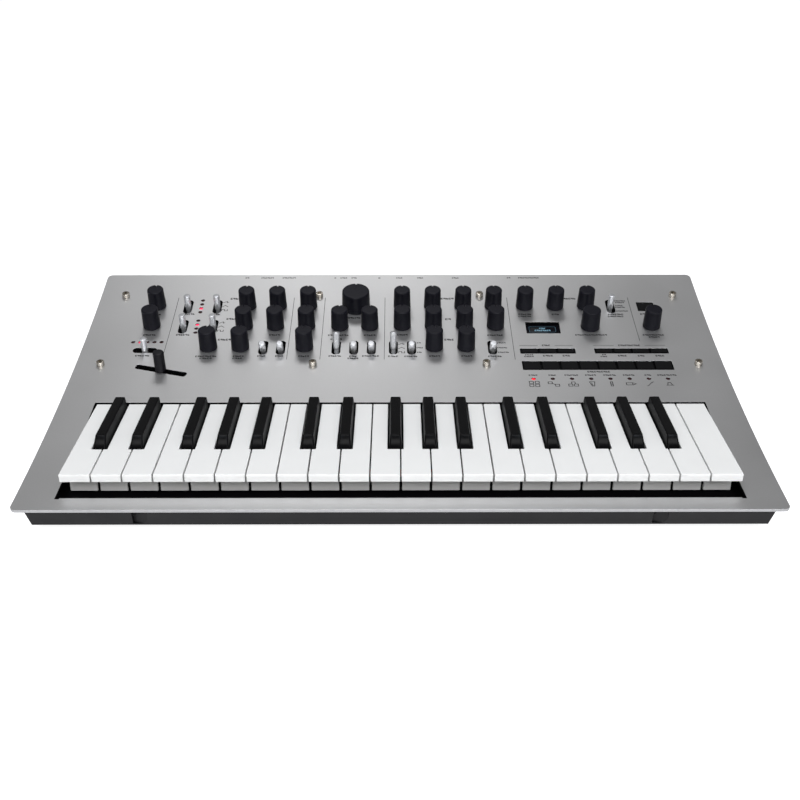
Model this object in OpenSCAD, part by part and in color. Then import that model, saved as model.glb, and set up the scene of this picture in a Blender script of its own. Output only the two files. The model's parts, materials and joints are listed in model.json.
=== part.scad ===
// Desk-top analogue keyboard synthesizer with 37 slim keys, rotary knobs and lever switches.
// Origin: centre of the footprint, on the surface that the rubber feet stand on.
// +X is to the player's right, +Y is away from the player, +Z is up. Millimetres.
// Places on the curved top panel are given as x and s, where s is the distance along the
// panel from its front edge.

/* [Panel] */
// Width of the metal top panel
panel_w = 500; // [498:1:504]
// Depth of the top panel in plan
panel_d = 300; // [299:0.5:302]
// Thickness of the top panel
panel_t = 2; // [1.5:0.1:2.2]
// Corner radius of the top panel in plan
panel_corner = 4.5; // [2:0.5:12]
// Slope of the panel at its front edge, degrees
panel_tilt = 4; // [3.5:0.1:4.5]
// Radius of the panel's upward curve
panel_bend_r = 1485; // [1400:5:1600]
// Height of the panel's front top edge above the table
panel_front_z = 23.6; // [23:0.1:26]

/* [Lower case] */
// Height of the rubber feet
foot_h = 6.4; // [5:0.1:7]
// Diameter of the rubber feet
foot_d = 20; // [14:1:24]
// How far the case walls stand in from the panel's edge
case_inset = 6.2; // [4:0.1:8]
// Further inset of the case walls at their bottom edge
case_taper = 3.6; // [0:0.1:5]
// Wall thickness of the case
case_wall = 2.5; // [2:0.1:3]
// Thickness of the wooden rear panel
wood_t = 12; // [10:0.5:13]
// Height of the socket centres above the table
socket_z = 44; // [42:0.5:46]

/* [Keyboard] */
// Distance from one white key to the next
white_pitch = 20.21; // [20:0.01:20.25]
// Gap between neighbouring white keys
key_gap = 0.9; // [0.7:0.1:1.2]
// Height of the white key tops above the table
key_top_z = 37.2; // [36.6:0.1:38]
// Thickness of the white key's front lip
key_lip = 5.6; // [4:0.1:6]
// Distance from the panel's front edge to the white keys' front
key_front = 21.3; // [20:0.1:23]
// Distance from the panel's front edge to the black keys' front
black_front = 57.5; // [56:0.5:60]
// Height of the black keys above the white ones
black_rise = 7.2; // [6:0.1:8]
// Width of a black key at the white keys' level
black_w = 8.8; // [8:0.1:10]
// How much narrower a black key is at its top
black_taper = 1.7; // [0.8:0.1:2.4]
// Distance from the panel's front edge to the key hinge rod
key_pivot = 152; // [151:0.5:153]

/* [Controls] */
// Diameter of a small knob at its base
knob_d = 14.1; // [11:0.1:15]
// Height of a small knob's top above the panel
knob_h = 17.1; // [14:0.1:18]
// Diameter of the large filter knob at its base
big_knob_d = 23.2; // [18:0.1:24]
// Height of the large knob's top above the panel
big_knob_h = 16.2; // [14:0.1:18]
// Sideways taper of a knob from its base to its top, total
knob_taper = 0.9; // [0:0.1:2]
// Diameter of the control shafts
shaft_d = 6; // [5:0.1:6.2]
// Distance from a lever's pivot to its flat end
lever_len = 18.3; // [16:0.1:19.5]
// Depth of a lever's pivot under the panel's top face
lever_pivot = 6.8; // [6:0.1:7]
// Lean of a lever at the end of its travel, degrees
lever_lean = 25; // [15:1:26]
// Width of a lever's slot
slot_w = 7; // [6.4:0.1:7.4]
// Length of a lever's slot
slot_len = 19; // [18:0.1:20]
// Depth of the control board's top face under the panel's top face
board_depth = 9.4; // [9:0.1:10]

/* [Hidden] */
$fn = 64;
BEND_FN = 256;
SLIT = 0.01;
// Gap between solids that rest on one another
TOUCH = 0.05;

// Control rows and columns on the panel
ROW_1 = 258.5;
ROW_2 = 230.3;
ROW_3 = 200.9;
STEP_ROW = 176.2;
MODE_ROW = 158.5;
function vco_col(i) = -150.6 + 25.2 * i;
function eg_col(i) = 2.2 + 25.1 * i;
function delay_col(i) = 103.4 + 25.3 * i;
MASTER_X = -200.2;
RESONANCE_X = -48.2;
FILTER_EG_X = -24;
CUTOFF_X = -35.8;
VOICE_X = 203.8;
ROUTING_X = 174.8;
OCTAVE_X = -174.8;
LED_X = -163.9;

// Small knobs: node name, x, s
KNOBS = [
    ["knob_master_volume", MASTER_X, ROW_1 + 0.8],
    ["knob_tempo", MASTER_X, ROW_2 + 0.8],
    ["knob_vco1_pitch", vco_col(1), ROW_1],
    ["knob_vco1_shape", vco_col(2), ROW_1],
    ["knob_vco2_pitch", vco_col(1), ROW_2],
    ["knob_vco2_shape", vco_col(2), ROW_2],
    ["knob_cross_modulation", vco_col(0), ROW_3],
    ["knob_pitch_envelope", vco_col(1), ROW_3],
    ["knob_mix_oscillator_1", vco_col(3), ROW_1],
    ["knob_mix_oscillator_2", vco_col(3), ROW_2],
    ["knob_mix_noise", vco_col(3), ROW_3],
    ["knob_resonance", RESONANCE_X, ROW_2 - 0.5],
    ["knob_filter_envelope", FILTER_EG_X, ROW_2 - 0.5],
    ["knob_amp_attack", eg_col(0), ROW_1],
    ["knob_amp_decay", eg_col(1), ROW_1],
    ["knob_amp_sustain", eg_col(2), ROW_1],
    ["knob_amp_release", eg_col(3), ROW_1],
    ["knob_mod_attack", eg_col(0), ROW_2],
    ["knob_mod_decay", eg_col(1), ROW_2],
    ["knob_mod_sustain", eg_col(2), ROW_2],
    ["knob_mod_release", eg_col(3), ROW_2],
    ["knob_lfo_rate", eg_col(1), ROW_3],
    ["knob_lfo_depth", eg_col(2), ROW_3],
    ["knob_delay_cutoff", delay_col(0), ROW_1],
    ["knob_delay_time", delay_col(1), ROW_1],
    ["knob_delay_feedback", delay_col(2), ROW_1],
    ["knob_voice_depth", VOICE_X, ROW_2]
];
BIG_KNOB = [CUTOFF_X, ROW_1 - 0.5];
DATA_KNOB = [delay_col(2), ROW_2 - 1.2];
DATA_KNOB_EXTRA_D = 1.2;
CONTROL_PLACES = concat(
    [for (k = KNOBS) [k[1], k[2]]],
    [BIG_KNOB, DATA_KNOB]
);

// Lever switches, by the way they lean at rest: centre, back or front
LEVERS_ROW_1 = [OCTAVE_X, vco_col(0), ROUTING_X];
LEVERS_ROW_2 = [OCTAVE_X, vco_col(0)];
LEVERS_BACK = [-50, -4.9];
LEVERS_FRONT = [-107.4, -93.6, -36.1, -22.2, 9.4, 73.1];
LEVER_PLACES = concat(
    [for (x = LEVERS_ROW_1) [x, ROW_1]],
    [for (x = LEVERS_ROW_2) [x, ROW_2]],
    [for (x = concat(LEVERS_BACK, LEVERS_FRONT)) [x, ROW_3]]
);
KEY_SHIFT_LEVER = [-200.1, 197.3];
LEVER_TIP_R = 2.6;
LEVER_NECK_R = 2.3;
LEVER_ROOT_R = 1.4;
LEVER_ROOT_LEN = 4;
LEVER_RIM_R = 0.9;
LEVER_DRUM_R = 1.8;
LEVER_DRUM_LEN = 5;

// Indicator lights
LED_R = 1.5;
LED_STEP = 5.6;
MODE_LED_STEP = 14.57;
LED_PLACES = concat(
    [for (i = [0:4]) [-211.3 + LED_STEP * i, 208.8]],
    [for (i = [0:3]) [LED_X, 250.9 + LED_STEP * i]],
    [for (i = [0:3]) [LED_X, 222.1 + LED_STEP * i]],
    [for (i = [0:7]) [101.5 + MODE_LED_STEP * i, MODE_ROW]]
);

// Push buttons: left x, number, pitch, middle s, depth
EDIT_BUTTONS = [94.7, 3, 14.42, 195.9, 6.2];
SEQ_BUTTONS = [153.2, 4, 14.42, 195.9, 6.2];
STEP_BUTTONS = [94.7, 8, 14.5, STEP_ROW, 11.1];
HOLD_BUTTON = [197, 1, 14, 258.1, 11.8];
BUTTON_GAP = 1.9;
BUTTON_PROUD = 0.4;
WINDOW_CLEAR = 0.4;

// Pitch lever: ends of its slanted slot
BEND_SLOT_A = [-203.1, 175.6];
BEND_SLOT_B = [-162.7, 164.2];
BEND_MID = (BEND_SLOT_A + BEND_SLOT_B) / 2;
BEND_ANGLE = atan2(BEND_SLOT_B[1] - BEND_SLOT_A[1], BEND_SLOT_B[0] - BEND_SLOT_A[0]);
BEND_SLOT_LEN = norm(BEND_SLOT_B - BEND_SLOT_A);
BEND_SLOT_W = 5.8;
BEND_SLOT_CORNER = 2;

// Display window: centre x, centre s, width, depth
DISPLAY = [115.85, 228.3, 27.4, 14.4];

// Panel screws
PANEL_SCREWS = [for (x = [-229, -67, 67, 229]) for (s = [178, 274]) [x, s]];
SCREW_R = 1.5;
SCREW_HEAD_R = 3;
SCREW_HEAD_H = 3.6;
SCREW_LEN = 10;
POST_R = 4.5;

// Feet and bottom screws
FOOT_X = 212;
FOOT_Y = [-116, 112];
BOTTOM_SCREWS = [for (x = [-180, -40, 40, 180]) for (y = [-90, 6]) [x, y]];

// Keyboard
WHITE_COUNT = 22;
OCTAVE_W = 7 * white_pitch;
OCTAVE_COUNT = 3;
KEYS_MID = 0.4;
KEYS_X = KEYS_MID - WHITE_COUNT * white_pitch / 2;
KEYS_END = KEYS_MID + WHITE_COUNT * white_pitch / 2;
KEY_BACK = 125.9;
KEY_HALF_GAP = key_gap / 2;
BLACK_SHIFT = 2.4;
BLACK_SHIFT_OUTER = 3.5;
BLACK_CLEAR = 1.05;
BLACK_BACK = 123.8;
TAIL_FRONT = 116;
PLUNGER = [85, 91];
PLUNGER_Z = 24.3;
SKIRT_SETBACK = 16.2;
SKIRT_T = 2;
SKIRT_DROP = 21.6;
PIVOT_Y = key_pivot - panel_d / 2;
PIVOT_Z = 26.5;
PIVOT_ROD_R = 1.75;
PIVOT_CLEAR = 0.3;
EYE_R = 3.6;
TAIL_W = 6;
FLOOR_Z = foot_h + case_wall;
CHASSIS_Z = 12.2;
CHASSIS_T = 2.5;
OPENING_HALF = 224.3;
OPENING_S = [13.2, 127.9];
RELIEF_W = 3;
RELIEF_S = 12.2;
// White keys in an octave, C to B, each with the centre of the black key on its left and right
// measured from the octave's left edge; a missing black key is given as undef
BLACK_CENTRES = [
    white_pitch - BLACK_SHIFT,
    2 * white_pitch + BLACK_SHIFT,
    4 * white_pitch - BLACK_SHIFT_OUTER,
    5 * white_pitch,
    6 * white_pitch + BLACK_SHIFT_OUTER
];
WHITE_NEIGHBOURS = [
    [undef, BLACK_CENTRES[0]],
    [BLACK_CENTRES[0], BLACK_CENTRES[1]],
    [BLACK_CENTRES[1], undef],
    [undef, BLACK_CENTRES[2]],
    [BLACK_CENTRES[2], BLACK_CENTRES[3]],
    [BLACK_CENTRES[3], BLACK_CENTRES[4]],
    [BLACK_CENTRES[4], undef]
];
KEY_CENTRES = concat([for (i = [0:6]) white_tail_x(i)], BLACK_CENTRES);
WHITE_NAMES = ["keys_c", "keys_d", "keys_e", "keys_f", "keys_g", "keys_a", "keys_b"];
BLACK_NAMES = ["keys_c_sharp", "keys_d_sharp", "keys_f_sharp", "keys_g_sharp", "keys_a_sharp"];

// Rear sockets, x places along the wooden panel
PHONO_X = [-130.2, -112.2, -94.2];
PHONO_R = 3.25;
MINI_X = [-53.9, -37.6];
MINI_R = 1.8;
DIN_X = [-17, 18.2];
USB_X = 48.2;
POWER_X = 93.7;
DC_X = 110;
WOOD_FRONT_Y = panel_d / 2 - 4 - wood_t;
WOOD_BACK_Y = panel_d / 2 - 4;
SOCKET_BOARD_T = 1.6;
SOCKET_BOARD_TOP = socket_z - 7;
NOSE_CLEAR = 0.3;
PHONO_NOSE_R = 5.6;
MINI_NOSE_R = 3.7;
DIN_NOSE_R = 8.4;
DC_NOSE_R = 4.6;
POWER_R = 4.4;
USB_W = 12;
USB_H = 11;

// Control board and what stands on it
POT_W = 10;
POT_TOP = 3;
BOARD_T = 1.6;
BOARD_HALF_W = 236;
BOARD_S = [155.5, 282];

STATIC_NODES = [
    "top_panel", "lower_case", "rear_wood_panel", "screws", "rubber_feet",
    "control_board", "socket_board", "display_module", "indicator_leds", "keybed"
];
MOVING_NODES = [
    "knob_filter_cutoff", "knob_program_value", "pitch_lever", "levers_row_1", "levers_row_2",
    "levers_row_3_back", "levers_row_3_front", "lever_key_shift", "function_buttons",
    "step_buttons", "power_button"
];

// ---------- the curved panel surface ----------

function slope(s) = panel_tilt + s / panel_bend_r * 180 / PI;
function panel_y(s) = -panel_d / 2 + panel_bend_r * (sin(slope(s)) - sin(panel_tilt));
function panel_z(s) = panel_front_z + panel_bend_r * (cos(panel_tilt) - cos(slope(s)));

// Puts children on the panel at x and s, with +Z along the panel's outward normal
module on_panel(x, s, h = 0) {
    translate([x, panel_y(s), panel_z(s)])
        rotate([slope(s), 0, 0])
            translate([0, 0, h])
                children();
}

// The cylinder whose surface runs at height h over the panel's top face; what lies above the
// panel is inside it
module bend_cylinder(h) {
    axis_y = -panel_d / 2 - panel_bend_r * sin(panel_tilt);
    axis_z = panel_front_z + panel_bend_r * cos(panel_tilt);
    translate([-panel_w, axis_y, axis_z])
        rotate([0, 90, 0])
            cylinder(r = panel_bend_r - h, h = 2 * panel_w, $fn = BEND_FN);
}

// Keeps the part of the children that lies lower than height h over the panel's top face
module below_panel(h) {
    difference() {
        children();
        bend_cylinder(h);
    }
}

// A box given by its lowest and highest corners
module box(low, high) {
    translate(low)
        cube(high - low);
}

// A rectangle with round corners, centred
module round_rect(w, d, r) {
    square([w, d - 2 * r], center = true);
    square([w - 2 * r, d], center = true);
    for (x = [-1, 1], y = [-1, 1])
        translate([x * (w / 2 - r), y * (d / 2 - r)])
            circle(r = r);
}

// A slot with round ends, centred, along X
module slot_2d(length, width) {
    square([length - width, width], center = true);
    for (x = [-1, 1])
        translate([x * (length - width) / 2, 0])
            circle(d = width);
}

// A hole through the panel at x and s
module panel_hole(x, s) {
    on_panel(x, s, -panel_t - 2)
        linear_extrude(panel_t + 4)
            children();
}

// ---------- covers ----------

// The opening for the keys, with a small relief notch at each front corner
module key_opening() {
    box([-OPENING_HALF, panel_y(OPENING_S[0]), 0], [OPENING_HALF, panel_y(OPENING_S[1]), 60]);
    for (x = [-OPENING_HALF, OPENING_HALF - RELIEF_W])
        box([x, panel_y(RELIEF_S), 0], [x + RELIEF_W, panel_y(OPENING_S[0]) + 1, 60]);
}

module top_panel() {
    color("silver")
        difference() {
            intersection() {
                difference() {
                    linear_extrude(120)
                        round_rect(panel_w, panel_d, panel_corner);
                    bend_cylinder(0);
                }
                bend_cylinder(-panel_t);
            }
            translate([KEYS_MID, 0, 0])
                key_opening();
            for (p = CONTROL_PLACES)
                panel_hole(p[0], p[1])
                    circle(d = shaft_d + 1.6);
            for (p = LEVER_PLACES)
                panel_hole(p[0], p[1])
                    rotate(90)
                        slot_2d(slot_len, slot_w);
            panel_hole(KEY_SHIFT_LEVER[0], KEY_SHIFT_LEVER[1])
                slot_2d(slot_len, slot_w);
            panel_hole(BEND_MID[0], BEND_MID[1])
                rotate(BEND_ANGLE)
                    round_rect(BEND_SLOT_LEN, BEND_SLOT_W, BEND_SLOT_CORNER);
            for (p = LED_PLACES)
                panel_hole(p[0], p[1])
                    circle(r = LED_R + 0.15);
            for (b = [EDIT_BUTTONS, SEQ_BUTTONS, STEP_BUTTONS, HOLD_BUTTON])
                panel_hole(button_mid(b), b[3])
                    round_rect(button_row_w(b), b[4], 0.8);
            panel_hole(DISPLAY[0], DISPLAY[1])
                round_rect(DISPLAY[2], DISPLAY[3], 0.6);
            for (p = PANEL_SCREWS)
                panel_hole(p[0], p[1])
                    circle(r = SCREW_R + 0.2);
        }
}

// Front view outline of the case with walls inset by t
module case_front_2d(t, bottom) {
    half_top = panel_w / 2 - case_inset - t;
    half_bottom = half_top - case_taper;
    shoulder = panel_front_z - panel_t;
    polygon([
        [-half_bottom, bottom], [-half_top, shoulder], [-half_top, 90],
        [half_top, 90], [half_top, shoulder], [half_bottom, bottom]
    ]);
}

// The case's outer shape, with walls inset by t, between a floor height and a rear plane
module case_shape(t, bottom, rear_y) {
    front_top = -panel_d / 2 + case_inset + t;
    front_bottom = front_top + case_taper;
    intersection() {
        translate([0, panel_d / 2, 0])
            rotate([90, 0, 0])
                linear_extrude(panel_d)
                    case_front_2d(t, bottom);
        rotate([90, 0, 90])
            linear_extrude(panel_w, center = true)
                polygon([
                    [front_bottom, bottom], [front_top, panel_front_z - panel_t],
                    [front_top, 90], [rear_y, 90], [rear_y, bottom]
                ]);
    }
}

// A pocket in the front wall, deep at one side and running out at the other
module front_pocket(x) {
    pocket_w = 10;
    pocket_depth = 1.6;
    sill = 1.2;
    translate([x, -panel_d / 2 + case_inset, foot_h + sill])
        linear_extrude(60)
            polygon([
                [-pocket_w / 2, -5], [-pocket_w / 2, case_taper + pocket_depth],
                [pocket_w / 2, case_taper - 1], [pocket_w / 2, -5]
            ]);
}

module lower_case() {
    seam = 0.15;
    recess_x = 169;
    color([0.16, 0.16, 0.17])
        below_panel(-panel_t - seam)
            difference() {
                union() {
                    difference() {
                        case_shape(0, foot_h, WOOD_FRONT_Y - 0.2);
                        case_shape(case_wall, FLOOR_Z, panel_d);
                    }
                    intersection() {
                        case_shape(0, foot_h, WOOD_BACK_Y);
                        box([-panel_w, 0, 0], [panel_w, panel_d, FLOOR_Z]);
                    }
                    intersection() {
                        case_shape(case_wall / 2, FLOOR_Z - 1, WOOD_FRONT_Y - 0.2);
                        for (p = PANEL_SCREWS)
                            on_panel(p[0], p[1], -90)
                                cylinder(r = POST_R, h = 90);
                    }
                    for (p = BOTTOM_SCREWS)
                        translate([p[0], p[1], foot_h])
                            cylinder(r = 5, h = CHASSIS_Z - foot_h - 0.1);
                }
                for (p = PANEL_SCREWS)
                    on_panel(p[0], p[1], -SCREW_LEN - 3)
                        cylinder(r = SCREW_R + 0.1, h = SCREW_LEN + 3);
                for (p = BOTTOM_SCREWS)
                    translate([p[0], p[1], 0]) {
                        cylinder(r = SCREW_R + 0.2, h = 30);
                        cylinder(r = SCREW_HEAD_R + 0.3, h = foot_h + 2.6);
                    }
                for (x = [-recess_x, recess_x])
                    front_pocket(x);
            }
}

module rear_wood_panel() {
    seam = 0.15;
    color([0.3, 0.13, 0.08])
        below_panel(-panel_t - seam)
            difference() {
                intersection() {
                    case_shape(0, foot_h, WOOD_BACK_Y);
                    box([-panel_w, WOOD_FRONT_Y, FLOOR_Z + seam], [panel_w, WOOD_BACK_Y, 90]);
                }
                for (x = PHONO_X)
                    wood_hole(x, PHONO_NOSE_R);
                for (x = MINI_X)
                    wood_hole(x, MINI_NOSE_R);
                for (x = DIN_X)
                    wood_hole(x, DIN_NOSE_R);
                wood_hole(POWER_X, POWER_R + 0.2);
                wood_hole(DC_X, DC_NOSE_R);
                box(
                    [USB_X - USB_W / 2 - NOSE_CLEAR, WOOD_FRONT_Y - 1, socket_z - USB_H / 2 - NOSE_CLEAR],
                    [USB_X + USB_W / 2 + NOSE_CLEAR, WOOD_BACK_Y + 1, socket_z + USB_H / 2 + NOSE_CLEAR]
                );
            }
}

module wood_hole(x, nose_r) {
    translate([x, WOOD_FRONT_Y - 1, socket_z])
        rotate([-90, 0, 0])
            cylinder(r = nose_r + NOSE_CLEAR, h = wood_t + 2);
}

// A hexagon-socket cap screw, its head standing on z = 0
module cap_screw() {
    difference() {
        union() {
            cylinder(r = SCREW_HEAD_R, h = SCREW_HEAD_H - 0.5);
            translate([0, 0, SCREW_HEAD_H - 0.5])
                cylinder(r1 = SCREW_HEAD_R, r2 = SCREW_HEAD_R - 0.5, h = 0.5);
            translate([0, 0, -SCREW_LEN])
                cylinder(r = SCREW_R, h = SCREW_LEN);
        }
        translate([0, 0, SCREW_HEAD_H - 1.8])
            cylinder(d = 2.9, h = 3, $fn = 6);
    }
}

// A pan-head screw that points up from under the case
module bottom_screw() {
    difference() {
        union() {
            cylinder(r = SCREW_HEAD_R - 0.2, h = 1.9);
            cylinder(r = SCREW_R, h = 8.5);
        }
        for (a = [0, 90])
            rotate(a)
                translate([-1.6, -0.3, -1])
                    cube([3.2, 0.6, 2]);
    }
}

module screws() {
    color([0.72, 0.68, 0.6]) {
        for (p = PANEL_SCREWS)
            on_panel(p[0], p[1], 0.02)
                cap_screw();
        for (p = BOTTOM_SCREWS)
            translate([p[0], p[1], foot_h + 0.6])
                bottom_screw();
    }
}

module rubber_feet() {
    bevel = 1;
    color([0.1, 0.1, 0.1])
        for (x = [-FOOT_X, FOOT_X], y = FOOT_Y)
            translate([x, y, 0]) {
                cylinder(d1 = foot_d - 2 * bevel, d2 = foot_d, h = bevel);
                translate([0, 0, bevel])
                    cylinder(d = foot_d, h = foot_h - bevel);
            }
}

// ---------- electronics ----------

// A rotary control: its body and threaded bush with the shaft's bore
module pot() {
    body_h = board_depth - POT_TOP - TOUCH;
    difference() {
        union() {
            translate([-POT_W / 2, -POT_W / 2, TOUCH - board_depth])
                cube([POT_W, POT_W, body_h]);
            translate([0, 0, -POT_TOP - SLIT])
                cylinder(r = shaft_d / 2 + 0.65, h = POT_TOP - 0.2);
        }
        translate([0, 0, -board_depth + 0.8])
            cylinder(d = shaft_d + 0.6, h = board_depth);
    }
}

// A lever switch body, open along the lever's sweep
module switch_body() {
    body_w = 8;
    body_len = 18;
    lever_gap = LEVER_DRUM_LEN + 0.8;
    sweep_len = 14.5;
    difference() {
        translate([-body_w / 2, -body_len / 2, TOUCH - board_depth])
            cube([body_w, body_len, board_depth - POT_TOP]);
        translate([-lever_gap / 2, -sweep_len / 2, -board_depth + 0.5])
            cube([lever_gap, sweep_len, board_depth]);
    }
}

// Key switches under one row of push buttons
module tact_switches(b) {
    switch_w = 5;
    switch_h = 2.8;
    for (i = [0:b[1] - 1])
        on_panel(b[0] + (i + 0.5) * b[2], b[3], TOUCH - board_depth)
            translate([-switch_w / 2, -switch_w / 2, 0])
                cube([switch_w, switch_w, switch_h]);
}

// Rails of the pitch lever's slide control
module slide_rails() {
    rail_h = 4.5;
    rail_gap = 7.2;
    for (side = [-1, 1])
        translate([-BEND_SLOT_LEN / 2 - 3, side * (rail_gap / 2 + 0.75) - 0.75, TOUCH - board_depth])
            cube([BEND_SLOT_LEN + 6, 1.5, rail_h]);
}

module control_board() {
    board_y = [panel_y(BOARD_S[0]), panel_y(BOARD_S[1])];
    color([0.1, 0.3, 0.16])
        difference() {
            intersection() {
                difference() {
                    box([-BOARD_HALF_W, board_y[0], 20], [BOARD_HALF_W, board_y[1], 80]);
                    bend_cylinder(-board_depth);
                }
                bend_cylinder(-board_depth - BOARD_T);
            }
            for (p = PANEL_SCREWS)
                on_panel(p[0], p[1], -30)
                    cylinder(r = POST_R + 0.5, h = 40);
        }
    color([0.3, 0.32, 0.34]) {
        for (p = CONTROL_PLACES)
            on_panel(p[0], p[1])
                pot();
        for (p = LEVER_PLACES)
            on_panel(p[0], p[1])
                switch_body();
        on_panel(KEY_SHIFT_LEVER[0], KEY_SHIFT_LEVER[1])
            rotate(90)
                switch_body();
        for (b = [EDIT_BUTTONS, SEQ_BUTTONS, STEP_BUTTONS, HOLD_BUTTON])
            tact_switches(b);
        on_panel(BEND_MID[0], BEND_MID[1])
            rotate(BEND_ANGLE)
                slide_rails();
    }
}

// A round socket: a body on the board and a nose that fills the hole in the wood
module round_socket(x, body_w, body_len, body_h, nose_r, bore_r, bore_len) {
    body_back = WOOD_FRONT_Y - 0.4;
    nose_back = WOOD_BACK_Y + 0.3;
    difference() {
        union() {
            box([x - body_w / 2, body_back - body_len, SOCKET_BOARD_TOP + TOUCH],
                [x + body_w / 2, body_back, SOCKET_BOARD_TOP + TOUCH + body_h]);
            translate([x, body_back - 1, socket_z])
                rotate([-90, 0, 0])
                    cylinder(r = nose_r, h = nose_back - body_back + 1);
        }
        translate([x, nose_back - bore_len, socket_z])
            rotate([-90, 0, 0])
                cylinder(r = bore_r, h = bore_len + 1);
    }
}

// The insulating core of a five-pin round socket, with its pin holes
module din_core(x) {
    core_r = 5.6;
    core_back = WOOD_BACK_Y - 7.5;
    pin_ring_r = 3.4;
    difference() {
        translate([x, core_back - 8, socket_z])
            rotate([-90, 0, 0])
                cylinder(r = core_r, h = 8);
        for (a = [-90:45:90])
            translate([x + pin_ring_r * sin(a), core_back - 6, socket_z - pin_ring_r * cos(a)])
                rotate([-90, 0, 0])
                    cylinder(r = 0.8, h = 7);
    }
}

module usb_socket() {
    back = WOOD_BACK_Y + 0.3;
    body_back = WOOD_FRONT_Y - 0.4;
    opening_w = 8.5;
    opening_h = 7.8;
    difference() {
        union() {
            box([USB_X - USB_W / 2, body_back - 6, SOCKET_BOARD_TOP + TOUCH],
                [USB_X + USB_W / 2, body_back, socket_z + USB_H / 2]);
            box([USB_X - USB_W / 2, body_back - 1, socket_z - USB_H / 2],
                [USB_X + USB_W / 2, back, socket_z + USB_H / 2]);
        }
        box([USB_X - opening_w / 2, back - 10, socket_z - opening_h / 2],
            [USB_X + opening_w / 2, back + 1, socket_z + opening_h / 2]);
    }
    box([USB_X - 2.8, back - 10.5, socket_z - 1.6], [USB_X + 2.8, back - 1.2, socket_z + 1.6]);
}

// The flat cable that joins the socket board to the control board, with its two headers
module board_link() {
    link_y = 88;
    half_w = 20;
    top = panel_z(240) - board_depth - BOARD_T - 1.4;
    header_h = 3;
    color([0.75, 0.76, 0.78])
        box([-half_w, link_y, SOCKET_BOARD_TOP + 1], [half_w, link_y + 0.9, top - 1]);
    color([0.9, 0.9, 0.86]) {
        box([-half_w - 1, link_y - 2, SOCKET_BOARD_TOP + TOUCH],
            [half_w + 1, link_y + 3, SOCKET_BOARD_TOP + header_h]);
        box([-half_w - 1, link_y - 2, top - header_h], [half_w + 1, link_y + 3, top]);
    }
}

module socket_board() {
    board_x = [-148, 128];
    board_y = [84, WOOD_FRONT_Y - 1.6];
    standoff_x = [-142, 0, 122];
    color([0.1, 0.3, 0.16])
        difference() {
            box([board_x[0], board_y[0], SOCKET_BOARD_TOP - SOCKET_BOARD_T],
                [board_x[1], board_y[1], SOCKET_BOARD_TOP]);
            for (p = PANEL_SCREWS)
                on_panel(p[0], p[1], -90)
                    cylinder(r = POST_R + 0.5, h = 90);
        }
    board_link();
    color([0.72, 0.7, 0.66])
        for (x = standoff_x)
            translate([x, board_y[0] + 6, FLOOR_Z])
                cylinder(r = 3, h = SOCKET_BOARD_TOP - SOCKET_BOARD_T - FLOOR_Z - TOUCH);
    color([0.08, 0.08, 0.09]) {
        for (x = PHONO_X)
            round_socket(x, 16, 24, 13.5, PHONO_NOSE_R, PHONO_R, 32);
        for (x = MINI_X)
            round_socket(x, 12, 14, 11, MINI_NOSE_R, MINI_R, 16);
        for (x = DIN_X) {
            round_socket(x, 20, 13, 16, DIN_NOSE_R, 6.7, 15.5);
            din_core(x);
        }
        round_socket(DC_X, 10, 14, 11.5, DC_NOSE_R, 2.8, 10);
        translate([DC_X, WOOD_BACK_Y - 10.5, socket_z])
            rotate([-90, 0, 0])
                cylinder(r = 1, h = 9.5);
        power_switch_body();
        usb_socket();
    }
}

// The power switch body, with a clear bore for its button's stem
module power_switch_body() {
    back = WOOD_FRONT_Y - 0.4;
    difference() {
        box([POWER_X - 6, back - 16, SOCKET_BOARD_TOP + TOUCH], [POWER_X + 6, back, socket_z + 6]);
        translate([POWER_X, back - 12, socket_z])
            rotate([-90, 0, 0])
                cylinder(r = 2.4, h = 14);
    }
}

module display_module() {
    glass_t = 1.5;
    glass_gap = 0.9;
    body_h = board_depth - panel_t - glass_gap - glass_t - 2 * TOUCH;
    color([0.02, 0.02, 0.03])
        on_panel(DISPLAY[0], DISPLAY[1], -panel_t - glass_gap - glass_t)
            linear_extrude(glass_t)
                square([DISPLAY[2] + 3, DISPLAY[3] + 3], center = true);
    color([0.1, 0.12, 0.2])
        on_panel(DISPLAY[0], DISPLAY[1], TOUCH - board_depth)
            linear_extrude(body_h)
                square([DISPLAY[2] + 4.5, DISPLAY[3] + 4], center = true);
}

module indicator_leds() {
    color([0.5, 0.05, 0.08])
        for (p = LED_PLACES)
            on_panel(p[0], p[1], TOUCH - board_depth) {
                cylinder(r = LED_R - 0.2, h = board_depth - 3);
                translate([0, 0, board_depth - 4])
                    cylinder(r = LED_R + 0.4, h = 1);
                translate([0, 0, board_depth - 3.5])
                    cylinder(r = LED_R, h = 3.2);
            }
}

// ---------- keyboard ----------

// Left and right limits of a white key's rear part, between its black neighbours
function white_rear(i, last) = [
    is_undef(WHITE_NEIGHBOURS[i][0]) ? i * white_pitch + KEY_HALF_GAP
        : WHITE_NEIGHBOURS[i][0] + black_w / 2 + BLACK_CLEAR,
    is_undef(WHITE_NEIGHBOURS[i][1]) || last ? (i + 1) * white_pitch - KEY_HALF_GAP
        : WHITE_NEIGHBOURS[i][1] - black_w / 2 - BLACK_CLEAR
];
function white_tail_x(i) = (white_rear(i, false)[0] + white_rear(i, false)[1]) / 2;
function key_y(distance) = distance - panel_d / 2;

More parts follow.
